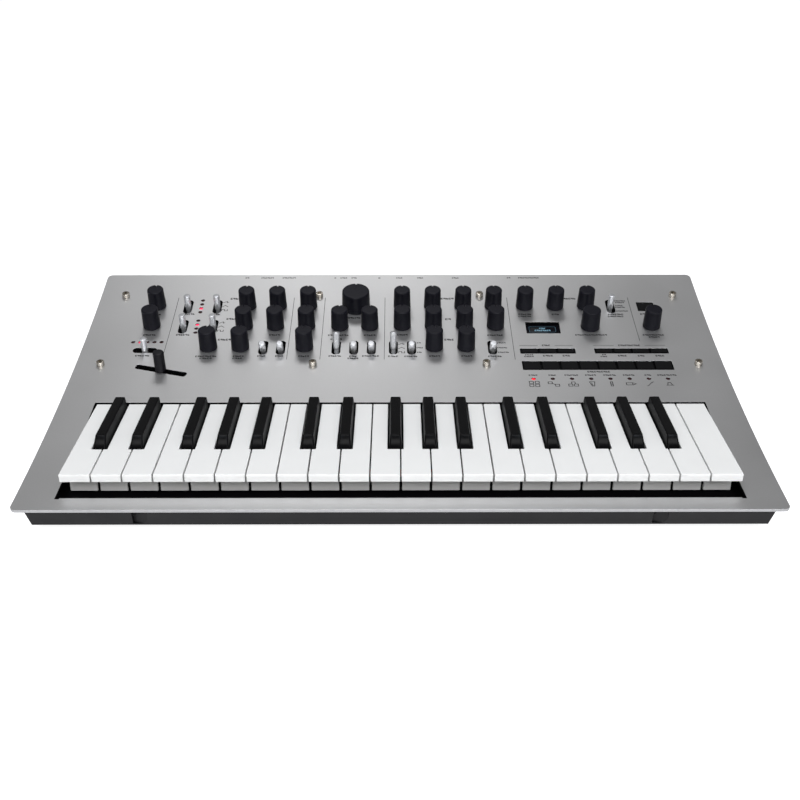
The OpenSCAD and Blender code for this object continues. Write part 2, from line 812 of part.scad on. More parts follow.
// The thin rear arm of a key and the eye that turns on the hinge rod
module key_tail(x) {
    difference() {
        union() {
            box([x - TAIL_W / 2, key_y(TAIL_FRONT), PIVOT_Z - 2.4], [x + TAIL_W / 2, PIVOT_Y, PIVOT_Z + 2.8]);
            translate([x - TAIL_W / 2, PIVOT_Y, PIVOT_Z])
                rotate([0, 90, 0])
                    cylinder(r = EYE_R, h = TAIL_W);
        }
        translate([x - TAIL_W, PIVOT_Y, PIVOT_Z])
            rotate([0, 90, 0])
                cylinder(r = PIVOT_ROD_R + PIVOT_CLEAR, h = 2 * TAIL_W);
    }
}

// The post under a key that presses its contact dome
module key_plunger(x, top) {
    box([x - TAIL_W / 2, key_y(PLUNGER[0]), PLUNGER_Z], [x + TAIL_W / 2, key_y(PLUNGER[1]), top]);
}

// One white key: notched top plate, set-back front skirt, side webs, plunger and tail
module white_key(i, last = false) {
    rear = white_rear(i, last);
    left = i * white_pitch + KEY_HALF_GAP;
    right = (i + 1) * white_pitch - KEY_HALF_GAP;
    notch_y = key_y(black_front - BLACK_CLEAR);
    lip_z = key_top_z - key_lip;
    skirt_y = key_y(key_front + SKIRT_SETBACK);
    skirt_z = key_top_z - SKIRT_DROP;
    hollow_y = skirt_y + SKIRT_T + 0.4;
    hollow_top = lip_z + 2.6;
    web_back = key_y(TAIL_FRONT + 4);
    skirt_in = 0.4;
    web_z = 27;
    tail_x = white_tail_x(i);
    difference() {
        union() {
            box([left, key_y(key_front), lip_z], [right, notch_y, key_top_z]);
            box([rear[0], notch_y - 1, lip_z], [rear[1], key_y(KEY_BACK), key_top_z]);
            box([left + skirt_in, skirt_y, skirt_z], [right - skirt_in, skirt_y + SKIRT_T, lip_z + 1]);
            box([tail_x - TAIL_W / 2, skirt_y + 1, web_z], [tail_x + TAIL_W / 2, web_back, lip_z + 1]);
        }
        box([left + 2, hollow_y, 0], [tail_x - TAIL_W / 2, notch_y - 2, hollow_top]);
        box([tail_x + TAIL_W / 2, hollow_y, 0], [right - 2, notch_y - 2, hollow_top]);
    }
    key_plunger(tail_x, web_z + 1);
    key_tail(tail_x);
}

// One black key: tapered cap with a slanted front, plunger and tail
module black_key(x) {
    bottom = 28.8;
    top = key_top_z + black_rise;
    top_w = black_w - black_taper;
    front_slant = 6.3;
    intersection() {
        translate([x, 0, 0])
            rotate([90, 0, 90])
                linear_extrude(black_w + 2, center = true)
                    polygon([
                        [key_y(black_front), bottom], [key_y(black_front), key_top_z],
                        [key_y(black_front + front_slant), top], [key_y(BLACK_BACK), top],
                        [key_y(BLACK_BACK), bottom]
                    ]);
        translate([x, key_y(BLACK_BACK) + 1, 0])
            rotate([90, 0, 0])
                linear_extrude(BLACK_BACK - black_front + 2)
                    polygon([
                        [-black_w / 2, bottom - 1], [-black_w / 2, key_top_z],
                        [-top_w / 2, top + SLIT], [top_w / 2, top + SLIT],
                        [black_w / 2, key_top_z], [black_w / 2, bottom - 1]
                    ]);
    }
    key_plunger(x, bottom + 1);
    key_tail(x);
}

module white_keys(i) {
    color([0.95, 0.95, 0.94])
        union() {
            for (octave = [0:OCTAVE_COUNT - 1])
                translate([KEYS_X + octave * OCTAVE_W, 0, 0])
                    white_key(i);
            if (i == 0)
                translate([KEYS_X + OCTAVE_COUNT * OCTAVE_W, 0, 0])
                    white_key(i, true);
        }
}

module black_keys(i) {
    color([0.08, 0.08, 0.09])
        for (octave = [0:OCTAVE_COUNT - 1])
            translate([KEYS_X + octave * OCTAVE_W, 0, 0])
                black_key(BLACK_CENTRES[i]);
}

// Chassis, contact board, hinge rod, its fins and the felt stop
module keybed() {
    fin_w = 2.4;
    half_w = 223.2;
    rod_half = 224.4;
    tray = [44, 160];
    stop = [49, 57];
    stop_h = 4.8;
    felt_t = 1.75;
    contacts = [80, 96];
    cable_x = [10, 34];
    cable_t = 0.6;
    cable_back = tray[1] + 2;
    cable_top = panel_z(cable_back) - board_depth - 4;
    dome_y = key_y((PLUNGER[0] + PLUNGER[1]) / 2);
    dome_h = 4;
    fin_places = concat(
        [for (octave = [0:OCTAVE_COUNT - 1]) KEYS_X + octave * OCTAVE_W + 3 * white_pitch],
        [for (octave = [1:OCTAVE_COUNT]) KEYS_X + octave * OCTAVE_W],
        [KEYS_X, KEYS_END]
    );
    top = CHASSIS_Z + CHASSIS_T;
    color([0.2, 0.2, 0.22])
        difference() {
            union() {
                box([-half_w, key_y(tray[0]), CHASSIS_Z], [half_w, key_y(tray[1]), top]);
                box([-half_w, key_y(stop[0]), top - 1], [half_w, key_y(stop[1]), top + stop_h]);
                for (x = fin_places)
                    box([x - fin_w / 2, PIVOT_Y - 6, top - 1], [x + fin_w / 2, PIVOT_Y + 5, PIVOT_Z + 4]);
            }
            translate([-panel_w / 2, PIVOT_Y, PIVOT_Z])
                rotate([0, 90, 0])
                    cylinder(r = PIVOT_ROD_R + 0.1, h = panel_w);
            for (p = BOTTOM_SCREWS)
                translate([p[0], p[1], 0])
                    cylinder(r = SCREW_R + 0.1, h = 30);
        }
    color([0.7, 0.7, 0.72])
        translate([-rod_half, PIVOT_Y, PIVOT_Z])
            rotate([0, 90, 0])
                cylinder(r = PIVOT_ROD_R, h = 2 * rod_half);
    color([0.6, 0.1, 0.1])
        box([-half_w, key_y(stop[0] + 0.5), top + stop_h + TOUCH],
            [half_w, key_y(stop[1] - 0.5), top + stop_h + TOUCH + felt_t]);
    color([0.1, 0.3, 0.16])
        box([-half_w, key_y(contacts[0]), top + TOUCH], [half_w, key_y(contacts[1]), top + BOARD_T]);
    color([0.75, 0.76, 0.78]) {
        box([cable_x[0], key_y(contacts[1] - 0.5), top + TOUCH],
            [cable_x[1], key_y(cable_back), top + cable_t]);
        box([cable_x[0], key_y(cable_back - cable_t), top + TOUCH],
            [cable_x[1], key_y(cable_back), cable_top]);
    }
    color([0.75, 0.75, 0.75])
        for (octave = [0:OCTAVE_COUNT])
            for (x = octave < OCTAVE_COUNT ? KEY_CENTRES : [white_tail_x(0)])
                translate([KEYS_X + octave * OCTAVE_W + x, dome_y, top + BOARD_T + TOUCH])
                    cylinder(r1 = 3, r2 = 1.8, h = dome_h);
}

// ---------- moving controls ----------

// Half the outline of a turned part: the side points from the bottom up, and then a rounded
// rim of radius rim_r where the side of radius top_r meets the flat top
module rimmed_profile(side, top_r, top, rim_r) {
    rim = [top_r - rim_r, top - rim_r];
    polygon(concat(
        [[0, side[0][1]]], side,
        [rim + [rim_r, 0], rim, [rim[0], top], [0, top]]
    ));
    translate(rim)
        intersection() {
            circle(r = rim_r);
            translate([-SLIT, 0])
                square(2 * rim_r);
        }
}

// A knob cap with its shaft. The rim is rounded; a pointer groove is cut unless plain
module knob(base_d, height, plain = false) {
    gap = 0.3;
    edge = 0.4;
    rim_r = 1;
    top_r = (base_d - knob_taper) / 2;
    bore_top = 12;
    groove_w = 0.8;
    groove_depth = 0.5;
    difference() {
        rotate_extrude()
            rimmed_profile([[base_d / 2 - edge, gap], [base_d / 2, gap + edge]], top_r, height, rim_r);
        translate([0, 0, -SLIT])
            cylinder(d = shaft_d + 0.2, h = bore_top);
        if (!plain)
            translate([-groove_w / 2, top_r * 0.35, height - groove_depth])
                cube([groove_w, top_r, 2]);
    }
    translate([0, 0, -board_depth + 1.1])
        cylinder(d = shaft_d, h = board_depth - 1.1 + bore_top - 0.4);
}

module small_knob(x, s) {
    color([0.12, 0.12, 0.13])
        on_panel(x, s)
            knob(knob_d, knob_h);
}

module knob_filter_cutoff() {
    color([0.12, 0.12, 0.13])
        on_panel(BIG_KNOB[0], BIG_KNOB[1])
            knob(big_knob_d, big_knob_h);
}

module knob_program_value() {
    color([0.12, 0.12, 0.13])
        on_panel(DATA_KNOB[0], DATA_KNOB[1])
            knob(knob_d + DATA_KNOB_EXTRA_D, knob_h, true);
}

// A round chrome lever with a flat end, on its pivot drum; it leans back by the angle given
module lever(lean) {
    translate([0, 0, -lever_pivot])
        rotate([-lean, 0, 0]) {
            rotate_extrude()
                rimmed_profile([
                    [LEVER_ROOT_R, 0], [LEVER_ROOT_R, LEVER_ROOT_LEN],
                    [LEVER_NECK_R, LEVER_ROOT_LEN + 1]
                ], LEVER_TIP_R, lever_len, LEVER_RIM_R);
            rotate([0, 90, 0])
                cylinder(r = LEVER_DRUM_R, h = LEVER_DRUM_LEN, center = true);
        }
}

module levers(places, s, lean) {
    color([0.85, 0.86, 0.88])
        for (x = places)
            on_panel(x, s)
                lever(lean);
}

module levers_row_1() {
    levers(LEVERS_ROW_1, ROW_1, 0);
}

module levers_row_2() {
    levers(LEVERS_ROW_2, ROW_2, 0);
}

module levers_row_3_back() {
    levers(LEVERS_BACK, ROW_3, lever_lean);
}

module levers_row_3_front() {
    levers(LEVERS_FRONT, ROW_3, -lever_lean);
}

module lever_key_shift() {
    color([0.85, 0.86, 0.88])
        on_panel(KEY_SHIFT_LEVER[0], KEY_SHIFT_LEVER[1])
            rotate(90)
                lever(0);
}

// The pitch lever: a round grip on a blade, with its carriage under the panel
module pitch_lever() {
    grip_r = 4.2;
    grip_low = 0.8;
    grip_top = 17.3;
    rim_r = 1.3;
    blade_len = 6;
    blade_w = 3.2;
    carriage_w = 6.4;
    carriage_h = 4;
    carriage_top = -2.6;
    color([0.1, 0.1, 0.11])
        on_panel(BEND_MID[0], BEND_MID[1])
            rotate(BEND_ANGLE)
                union() {
                    rotate_extrude()
                        rimmed_profile([[grip_r, grip_low]], grip_r, grip_top, rim_r);
                    translate([-blade_len / 2, -blade_w / 2, carriage_top - 1])
                        cube([blade_len, blade_w, grip_low - carriage_top + 2]);
                    translate([-carriage_w / 2, -carriage_w / 2, carriage_top - carriage_h])
                        cube([carriage_w, carriage_w, carriage_h]);
                }
}

function button_row_w(b) = b[1] * b[2];
function button_mid(b) = b[0] + button_row_w(b) / 2;

// One row of push buttons: caps with stems, tied by a thin web under the panel
module button_row(b) {
    web_t = 1;
    web_top = -panel_t - 0.35;
    stem_bottom = -5;
    cap_d = b[4] - 2 * WINDOW_CLEAR;
    single = b[1] == 1;
    cap_w = single ? b[2] - 2 * WINDOW_CLEAR : b[2] - BUTTON_GAP;
    on_panel(button_mid(b), b[3]) {
        for (i = [0:b[1] - 1])
            translate([(i + 0.5) * b[2] - button_row_w(b) / 2, 0, 0]) {
                translate([0, 0, web_top - web_t / 2])
                    linear_extrude(BUTTON_PROUD - web_top + web_t / 2)
                        round_rect(cap_w, cap_d, 0.6);
                translate([0, 0, stem_bottom])
                    cylinder(r = 1.2, h = web_top - stem_bottom);
            }
        translate([0, 0, web_top - web_t])
            linear_extrude(web_t)
                square([button_row_w(b) + 1, b[4] + 1], center = true);
    }
}

module function_buttons() {
    color([0.13, 0.13, 0.14])
        for (b = [EDIT_BUTTONS, SEQ_BUTTONS, HOLD_BUTTON])
            button_row(b);
}

module step_buttons() {
    color([0.13, 0.13, 0.14])
        button_row(STEP_BUTTONS);
}

module power_button() {
    back = WOOD_BACK_Y + 2.6;
    stem_len = 12;
    color([0.1, 0.1, 0.11])
        translate([POWER_X, 0, socket_z])
            rotate([-90, 0, 0]) {
                translate([0, 0, WOOD_FRONT_Y + 3])
                    cylinder(r = POWER_R, h = back - WOOD_FRONT_Y - 3);
                translate([0, 0, WOOD_FRONT_Y + 3 - stem_len])
                    cylinder(r = 2, h = stem_len + 1);
            }
}

top_panel();
lower_case();
rear_wood_panel();
screws();
rubber_feet();
control_board();
socket_board();
display_module();
indicator_leds();
keybed();
for (k = KNOBS)
    small_knob(k[1], k[2]);
knob_filter_cutoff();
knob_program_value();
pitch_lever();
levers_row_1();
levers_row_2();
levers_row_3_back();
levers_row_3_front();
lever_key_shift();
function_buttons();
step_buttons();
power_button();
for (i = [0:6])
    white_keys(i);
for (i = [0:4])
    black_keys(i);
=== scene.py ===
"""Desk-top analogue synthesizer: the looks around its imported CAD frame.

Metres, +X to the player's right, +Y away from the player, +Z up, z = 0 on the table.
Places on the curved top panel are given as x and s, where s runs along the panel from
its front edge, and h is the height over the panel's top face.
"""
import json
from math import asin, atan2, ceil, copysign, cos, degrees, hypot, pi, radians, sin

import bmesh
import bpy
from mathutils import Matrix, Vector


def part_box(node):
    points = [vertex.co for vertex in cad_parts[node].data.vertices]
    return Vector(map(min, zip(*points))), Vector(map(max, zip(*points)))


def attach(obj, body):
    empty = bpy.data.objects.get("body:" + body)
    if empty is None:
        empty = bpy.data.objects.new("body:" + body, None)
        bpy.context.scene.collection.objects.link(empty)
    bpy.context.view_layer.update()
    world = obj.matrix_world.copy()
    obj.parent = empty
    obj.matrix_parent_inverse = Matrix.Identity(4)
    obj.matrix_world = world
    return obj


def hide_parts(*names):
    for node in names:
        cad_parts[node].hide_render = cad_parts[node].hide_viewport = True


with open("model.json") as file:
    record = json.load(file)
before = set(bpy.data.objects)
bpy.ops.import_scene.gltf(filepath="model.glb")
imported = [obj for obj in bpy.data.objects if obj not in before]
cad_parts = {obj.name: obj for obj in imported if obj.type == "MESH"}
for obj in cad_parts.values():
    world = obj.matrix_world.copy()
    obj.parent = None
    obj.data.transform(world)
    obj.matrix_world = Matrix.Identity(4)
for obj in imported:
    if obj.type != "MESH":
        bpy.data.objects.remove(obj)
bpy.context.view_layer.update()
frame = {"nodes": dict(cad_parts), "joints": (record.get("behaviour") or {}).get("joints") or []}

MM = 0.001
CHASSIS = "chassis"
move = Matrix.Translation
NODES = frame["nodes"]
JOINTS = {joint["child"]: joint for joint in frame["joints"]}

# The panel's curve, as in the CAD model
PANEL_T = 2 * MM
PANEL_BEND_R = 1485 * MM
PANEL_TILT = radians(4)
PANEL_CORNER = 4.5 * MM
panel_low, panel_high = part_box("top_panel")
BEND_Y = panel_low.y - PANEL_BEND_R * sin(PANEL_TILT)
BEND_Z = panel_low.z + PANEL_T * cos(PANEL_TILT) + PANEL_BEND_R * cos(PANEL_TILT)
PANEL_LENGTH = PANEL_BEND_R * (asin((panel_high.y - BEND_Y) / PANEL_BEND_R) - PANEL_TILT)


# ---- places on the panel

def slope(s):
    return PANEL_TILT + s / PANEL_BEND_R


def on_panel(x, s, h=0.0):
    """The point at x and s, h over the panel's top face."""
    reach = PANEL_BEND_R - h
    return Vector((x, BEND_Y + reach * sin(slope(s)), BEND_Z - reach * cos(slope(s))))


def panel_place(point):
    """x, s and h of a point."""
    away_y, away_z = point[1] - BEND_Y, BEND_Z - point[2]
    s = PANEL_BEND_R * (atan2(away_y, away_z) - PANEL_TILT)
    return Vector((point[0], s, PANEL_BEND_R - hypot(away_y, away_z)))


def outward(point):
    """The panel's normal at a point."""
    return Vector((0, BEND_Y - point.y, BEND_Z - point.z)).normalized()


def panel_frame(x, s):
    """The matrix that stands things on the panel at x and s, with +Z along its normal."""
    return move(on_panel(x, s)) @ Matrix.Rotation(slope(s), 4, "X")


def loose_parts(node):
    """The separate solids of a CAD node, as lists of points and of polygon numbers."""
    mesh = NODES[node].data
    places = [tuple(round(c, 6) for c in v.co) for v in mesh.vertices]
    leader = {place: place for place in places}

    def find(place):
        while leader[place] != place:
            leader[place] = leader[leader[place]]
            place = leader[place]
        return place

    for polygon in mesh.polygons:
        first = find(places[polygon.vertices[0]])
        for corner in polygon.vertices[1:]:
            leader[find(places[corner])] = first
    parts = {}
    for polygon in mesh.polygons:
        part = parts.setdefault(find(places[polygon.vertices[0]]), ([], []))
        part[0].extend(mesh.vertices[corner].co.copy() for corner in polygon.vertices)
        part[1].append(polygon.index)
    return sorted(parts.values(), key=lambda part: [round(c, 4) for c in middle(part[0])])


def limits(points):
    """Lowest and highest corner of some points."""
    columns = list(zip(*points))
    return Vector([min(column) for column in columns]), Vector([max(column) for column in columns])


def middle(points):
    low, high = limits(points)
    return (low + high) / 2


# ---- materials

def fill(tree, node, **values):
    """Sets or joins a node's inputs: From_Min stands for the input "From Min"."""
    for name, value in values.items():
        socket = node.inputs[name.replace("_", " ")]
        if isinstance(value, bpy.types.NodeSocket):
            tree.links.new(value, socket)
        else:
            socket.default_value = value
    return node


def map_range(tree, value, from_min, from_max, to_min, to_max):
    made = fill(tree, tree.nodes.new("ShaderNodeMapRange"), Value=value, From_Min=from_min,
                From_Max=from_max, To_Min=to_min, To_Max=to_max)
    return made.outputs["Result"]


class Finish:
    """A node material under construction."""

    def __init__(self, name, colour, roughness, metallic=0.0):
        self.material = bpy.data.materials.new(name)
        self.material.use_nodes = True
        self.material.diffuse_color = (*colour, 1)
        self.tree = self.material.node_tree
        self.shader = self.tree.nodes["Principled BSDF"]
        self.colour = colour
        self.place = self.node("TexCoord").outputs["Object"]
        self.set(Base_Color=(*colour, 1), Roughness=roughness, Metallic=metallic)

    def node(self, kind, **inputs):
        return fill(self.tree, self.tree.nodes.new("ShaderNode" + kind), **inputs)

    def set(self, **values):
        """Constants or textures for the shader's own inputs."""
        fill(self.tree, self.shader, **values)
        return self

    def noise(self, scale, detail=3.0, stretch=None, distortion=0.0):
        """A noise value from 0 to 1. scale is its number of grains in a metre."""
        place = self.place
        if stretch:
            place = self.node("Mapping", Vector=place, Scale=stretch).outputs["Vector"]
        return self.node("TexNoise", Vector=place, Scale=scale, Detail=detail,
                         Distortion=distortion).outputs["Fac"]

    def ramp(self, value, stops):
        """Colours along a value: stops are (position, colour)."""
        made = self.node("ValToRGB", Fac=value)
        points = made.color_ramp.elements
        while len(points) < len(stops):
            points.new(0.5)
        for point, (position, colour) in zip(points, stops):
            point.position = position
            point.color = (*colour, 1)
        return made.outputs["Color"]

    def tint(self, value, amount):
        """Varies the base colour by a share either way."""
        low = tuple(c * (1 - amount) for c in self.colour)
        high = tuple(min(1, c * (1 + amount)) for c in self.colour)
        return self.set(Base_Color=self.ramp(value, [(0.3, low), (0.7, high)]))

    def roughen(self, value, low, high):
        return self.set(Roughness=map_range(self.tree, value, 0.3, 0.7, low, high))

    def bump(self, value, depth, strength=1.0):
        """Relief of a given depth in metres, over any relief that is there already."""
        made = self.node("Bump", Height=value, Distance=depth, Strength=strength)
        for earlier in self.shader.inputs["Normal"].links:
            fill(self.tree, made, Normal=earlier.from_socket)
        return self.set(Normal=made.outputs["Normal"])


def surface(name, colour, roughness, tint, gloss, relief, metallic=0.0):
    """A finish with uneven colour (noise, amount), gloss (noise, low, high) and relief (noise,
    depth in mm, strength). A noise is (grains in a metre, detail, stretch)."""
    finish = Finish(name, colour, roughness, metallic)
    finish.tint(finish.noise(*tint[0]), tint[1])
    finish.roughen(finish.noise(*gloss[0]), *gloss[1:])
    return finish.bump(finish.noise(*relief[0]), relief[1] * MM, relief[2])


def moulded(name, colour, roughness, specular=0.5, grain=1800, depth=0.03, tint=0.12, **sockets):
    """Moulded plastic or rubber: a fine surface grain, faint mottling, uneven gloss."""
    broad = (45, 3)
    made = surface(name, colour, roughness, (broad, tint), (broad, roughness * 0.88, roughness * 1.12),
                   ((grain, 3), depth, 0.5))
    return made.set(Specular_IOR_Level=specular, **sockets).material


def bright_metal(name, colour, roughness, grain, metallic=1.0):
    """Plated or polished metal with hairline scratches."""
    scratch = (grain, 4, (1, 1, 0.08))
    return surface(name, colour, roughness, ((300, 2), 0.05), (scratch, roughness * 0.7, roughness * 1.5),
                   (scratch, 0.003, 0.3), metallic).material


def oiled_wood():
    """Straight reddish grain along X, with darker pores."""
    finish = Finish("oiled_wood", (0.2, 0.075, 0.035), 0.42)
    bands = finish.noise(60, 6, stretch=(0.06, 1, 1), distortion=0.6)
    pores = finish.noise(900, 4, stretch=(0.03, 1, 1))
    colour = finish.ramp(bands, [
        (0.25, (0.09, 0.03, 0.014)), (0.45, (0.2, 0.075, 0.035)),
        (0.6, (0.3, 0.125, 0.06)), (0.78, (0.17, 0.06, 0.028)),
    ])
    dark = finish.ramp(pores, [(0.36, (0.45, 0.45, 0.45)), (0.48, (1, 1, 1))])
    product = finish.node("Mix")
    product.data_type, product.blend_type = "RGBA", "MULTIPLY"
    product.inputs[0].default_value = 1
    for value, number in ((colour, 6), (dark, 7)):
        finish.tree.links.new(value, product.inputs[number])
    finish.set(Base_Color=product.outputs[2])
    finish.roughen(pores, 0.5, 0.36)
    finish.bump(pores, 0.05 * MM, 0.5)
    finish.bump(bands, 0.05 * MM, 0.3)
    return finish.material


def circuit_board():
    """A circuit board with tracks that show through; its near-black colour is painted shade for the board
    seen through the pitch-lever slot.
    """
    finish = Finish("circuit_board", (0.005, 0.01, 0.008), 0.3)
    tracks = finish.node("TexBrick", Vector=finish.place, Scale=120, Mortar_Size=0.03,
                         Color1=(0.004, 0.009, 0.007, 1), Color2=(0.005, 0.011, 0.008, 1),
                         Mortar=(0.012, 0.024, 0.018, 1))
    finish.set(Base_Color=tracks.outputs["Color"])
    finish.roughen(finish.noise(200, 3), 0.25, 0.4)
    finish.bump(finish.noise(900, 2), 0.02 * MM, 0.3)
    return finish.material


def glow(name, colour, strength, body=1):
    """A lit surface, a little uneven across; body is how much of the colour shows unlit."""
    finish = Finish(name, [c * body for c in colour], 0.4)
    finish.tint(finish.noise(900, 2), 0.12)
    return finish.set(Emission_Color=(*colour, 1), Emission_Strength=strength).material


BLAST = (2600, 2)
ALUMINIUM = surface("blasted_aluminium", (0.65, 0.65, 0.655), 0.41, (BLAST, 0.035),
                    ((14, 4), 0.39, 0.44), (BLAST, 0.006, 0.35), 1.0).material
NICKEL = bright_metal("nickel_plate", (0.54, 0.5, 0.44), 0.16, 2500)
CHROME = bright_metal("satin_chrome", (0.72, 0.73, 0.75), 0.2, 1500, 0.6)
# A darker, duller copy of the chrome for the levers' flat ends: painted shade that tames their highlight
CHROME_PAINTED_SHADE_END = bright_metal("satin_chrome_end", (0.42, 0.425, 0.44), 0.38, 1500, 0.6)
CUT_EDGE = bright_metal("cut_edge", (0.37, 0.37, 0.38), 0.35, 1200)
STEEL = bright_metal("drawn_steel", (0.5, 0.5, 0.52), 0.3, 1800)
WOOD = oiled_wood()
CASE = moulded("case_plastic", (0.0054, 0.005, 0.0064), 0.55, 0.25, 1500, 0.06)
KNOB = moulded("soft_touch_rubber", (0.005, 0.005, 0.0088), 0.4, 0.15, 2600, 0.015)
BUTTON = moulded("button_plastic", (0.004, 0.004, 0.0045), 0.4, 0.09, depth=0.012)
GRIP = moulded("grip_plastic", (0.0045, 0.0043, 0.0062), 0.38, 0.2, depth=0.012)
SOCKET = moulded("socket_plastic", (0.014, 0.014, 0.016), 0.42)
# Dark component plastic; the same material is also painted shade on the walls of the panel's openings and on
# the button webs
COMPONENT_AND_SHADE_BLACK = moulded("component_plastic", (0.003, 0.003, 0.0035), 0.7, 0.1)
KEYBED = moulded("key_chassis_plastic", (0.02, 0.02, 0.022), 0.6)
RUBBER = moulded("foot_rubber", (0.012, 0.012, 0.012), 0.75, grain=900, depth=0.08)
FELT = moulded("stop_felt", (0.25, 0.02, 0.02), 0.95, grain=1200, depth=0.3, tint=0.3)
CABLE = moulded("ribbon_cable", (0.55, 0.56, 0.58), 0.5)
BOARD = circuit_board()
WHITE_KEY = surface("white_key_plastic", (0.83, 0.83, 0.82), 0.32, ((30, 3), 0.015),
                    ((120, 3), 0.28, 0.36), ((1500, 2), 0.01, 0.3)
                    ).set(Coat_Weight=0.25, Coat_Roughness=0.15).material
RUBBED = (700, 3, (1, 0.12, 1))
BLACK_KEY = surface("black_key_plastic", (0.003, 0.003, 0.0034), 0.22, ((60, 3), 0.2),
                    (RUBBED, 0.17, 0.25), (RUBBED, 0.015, 0.3)).set(Specular_IOR_Level=0.07).material
BLACK_SIDE = moulded("black_key_side", (0.003, 0.003, 0.0035), 0.5, 0.1, depth=0.012)
PRINT = moulded("panel_ink", (0.006, 0.006, 0.007), 0.6, 0.1, depth=0.004)
SMOKED = moulded("smoked_window", (0.004, 0.004, 0.006), 0.08, depth=0.002,
                 Coat_Weight=0.5, Coat_Roughness=0.04)
LENS = moulded("lens_unlit", (0.035, 0.006, 0.008), 0.3, 0.3, depth=0.01)
LENS_LIT = glow("lens_lit", (0.9, 0.02, 0.09), 0.95)
LENS_RED = glow("lens_red", (0.85, 0.012, 0.025), 0.95)
PIXELS = glow("display_pixels", (0.35, 0.68, 0.9), 0.42, 0.1)
FRAME_PIXELS = glow("display_frame_line", (0.3, 0.6, 0.8), 0.16, 0.1)


# ---- mesh helpers

STILL = Matrix.Identity(4)
ALONG_X = Matrix.Rotation(pi / 2, 4, "Y")


def new_object(name, data, *materials):
    """A new object in the scene. Its mesh takes the materials, unless it has some already."""
    made = bpy.data.objects.new(name, data)
    bpy.context.scene.collection.objects.link(made)
    if materials and not data.materials:
        for material in materials:
            data.materials.append(material)
    return made


def piece(name, mesh, materials, body, replaced=(), place=None):
    """A finished piece of the object, riding on its body."""
    made = new_object(name, mesh, *materials)
    if place:
        made.matrix_world = place
    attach(made, body)
    if replaced:
        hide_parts(*replaced)
    return made


def modify(target, name, kind, **settings):
    made = target.modifiers.new(name, kind)
    for setting, value in settings.items():
        setattr(made, setting, value)


def even_shading(made):
    """Keeps large flat faces flat where small rounded edges meet them."""
    modify(made, "smooth", "WEIGHTED_NORMAL", keep_sharp=True)
    return made


def evaluated_mesh(made):
    """The mesh of an object with its modifiers or bevels applied. The object is removed."""
    mesh = bpy.data.meshes.new_from_object(made.evaluated_get(bpy.context.evaluated_depsgraph_get()))
    bpy.data.objects.remove(made)
    return mesh


def from_mesh(mesh):
    bm = bmesh.new()
    bm.from_mesh(mesh)
    return bm


def to_mesh(bm, name, crease=32):
    """A smooth-shaded mesh from a bmesh, with sharp edges over the crease angle."""
    bmesh.ops.recalc_face_normals(bm, faces=bm.faces)
    mesh = bpy.data.meshes.new(name)
    bm.to_mesh(mesh)
    bm.free()
    mesh.shade_smooth()
    mesh.set_sharp_from_angle(angle=radians(crease))
    return mesh


def sharp_edges(bm, over=30):
    return [e for e in bm.edges if len(e.link_faces) == 2 and e.calc_face_angle(0) > radians(over)]


def bevel(bm, edges, width, segments=3):
    bmesh.ops.bevel(bm, geom=edges, offset=width, offset_type="OFFSET", segments=segments,
                    profile=0.5, affect="EDGES", clamp_overlap=True)


def joined(parts, name, crease=32):
    """One mesh from (bmesh, matrix, material number) parts."""
    whole = bmesh.new()
    for part, matrix, material in parts:
        part.transform(matrix)
        for face in part.faces:
            face.material_index = material
        spare = to_mesh(part, "spare")
        whole.from_mesh(spare)
        bpy.data.meshes.remove(spare)
    return to_mesh(whole, name, crease)


def prism(outline, low, high):
    """A solid between two heights over a flat outline of (x, y) points."""
    bm = bmesh.new()
    base = bm.faces.new([bm.verts.new((x, y, low)) for x, y in outline])
    grown = bmesh.ops.extrude_face_region(bm, geom=[base])
    moved = [v for v in grown["geom"] if isinstance(v, bmesh.types.BMVert)]
    bmesh.ops.translate(bm, verts=moved, vec=(0, 0, high - low))
    bmesh.ops.recalc_face_normals(bm, faces=bm.faces)
    return bm


def block(low, high, edge, segments=2):
    """A box from its lowest to its highest corner, with rounded edges."""
    (x0, y0, z0), (x1, y1, z1) = low, high
    bm = prism([(x0, y0), (x1, y0), (x1, y1), (x0, y1)], z0, z1)
    bevel(bm, list(bm.edges), edge, segments)
    return bm


def walls(bm, rings):
    """Faces between rings of vertices, from the lowest ring to the highest."""
    for lower, upper in zip(rings, rings[1:]):
        count = max(len(lower), len(upper))
        for i in range(count):
            j = (i + 1) % count
            corners = [lower[i % len(lower)], lower[j % len(lower)],
                       upper[j % len(upper)], upper[i % len(upper)]]
            corners = list(dict.fromkeys(corners))
            if len(corners) > 2:
                bm.faces.new(corners)


def lathe(profile, segments=64, wobble=None):
    """A solid of revolution about Z. The profile is (radius, z) points from bottom to top.
    wobble(angle, radius, z) may change the radius around the turn."""
    bm = bmesh.new()
    rings = []
    for radius, z in profile:
        if radius < 1e-7:
            rings.append([bm.verts.new((0, 0, z))])
            continue
        ring = []
        for i in range(segments):
            angle = 2 * pi * i / segments
            r = wobble(angle, radius, z) if wobble else radius
            ring.append(bm.verts.new((r * cos(angle), r * sin(angle), z)))
        rings.append(ring)
    walls(bm, rings)
    return bm


def arc(centre, radius, start, end, steps):
    """Points of an arc as (x, y), angles in degrees, both ends included."""
    turns = [radians(start + (end - start) * i / steps) for i in range(steps + 1)]
    return [(centre[0] + radius * cos(a), centre[1] + radius * sin(a)) for a in turns]


def rectangle(x, y, width, depth):
    """The corners of a rectangle about x and y."""
    u, v = width / 2, depth / 2
    return [(x - u, y - v), (x + u, y - v), (x + u, y + v), (x - u, y + v)]


def rounded_outline(width, depth, radius, steps=6):
    """A rectangle with round corners about the origin."""
    x, y = width / 2 - radius, depth / 2 - radius
    points = []
    for quarter, (cx, cy) in enumerate([(x, y), (-x, y), (-x, -y), (x, -y)]):
        points += arc((cx, cy), radius, 90 * quarter, 90 * quarter + 90, steps)
    return points


def circle_outline(radius, steps):
    return arc((0, 0), radius, 0, 360 - 360 / steps, steps - 1)


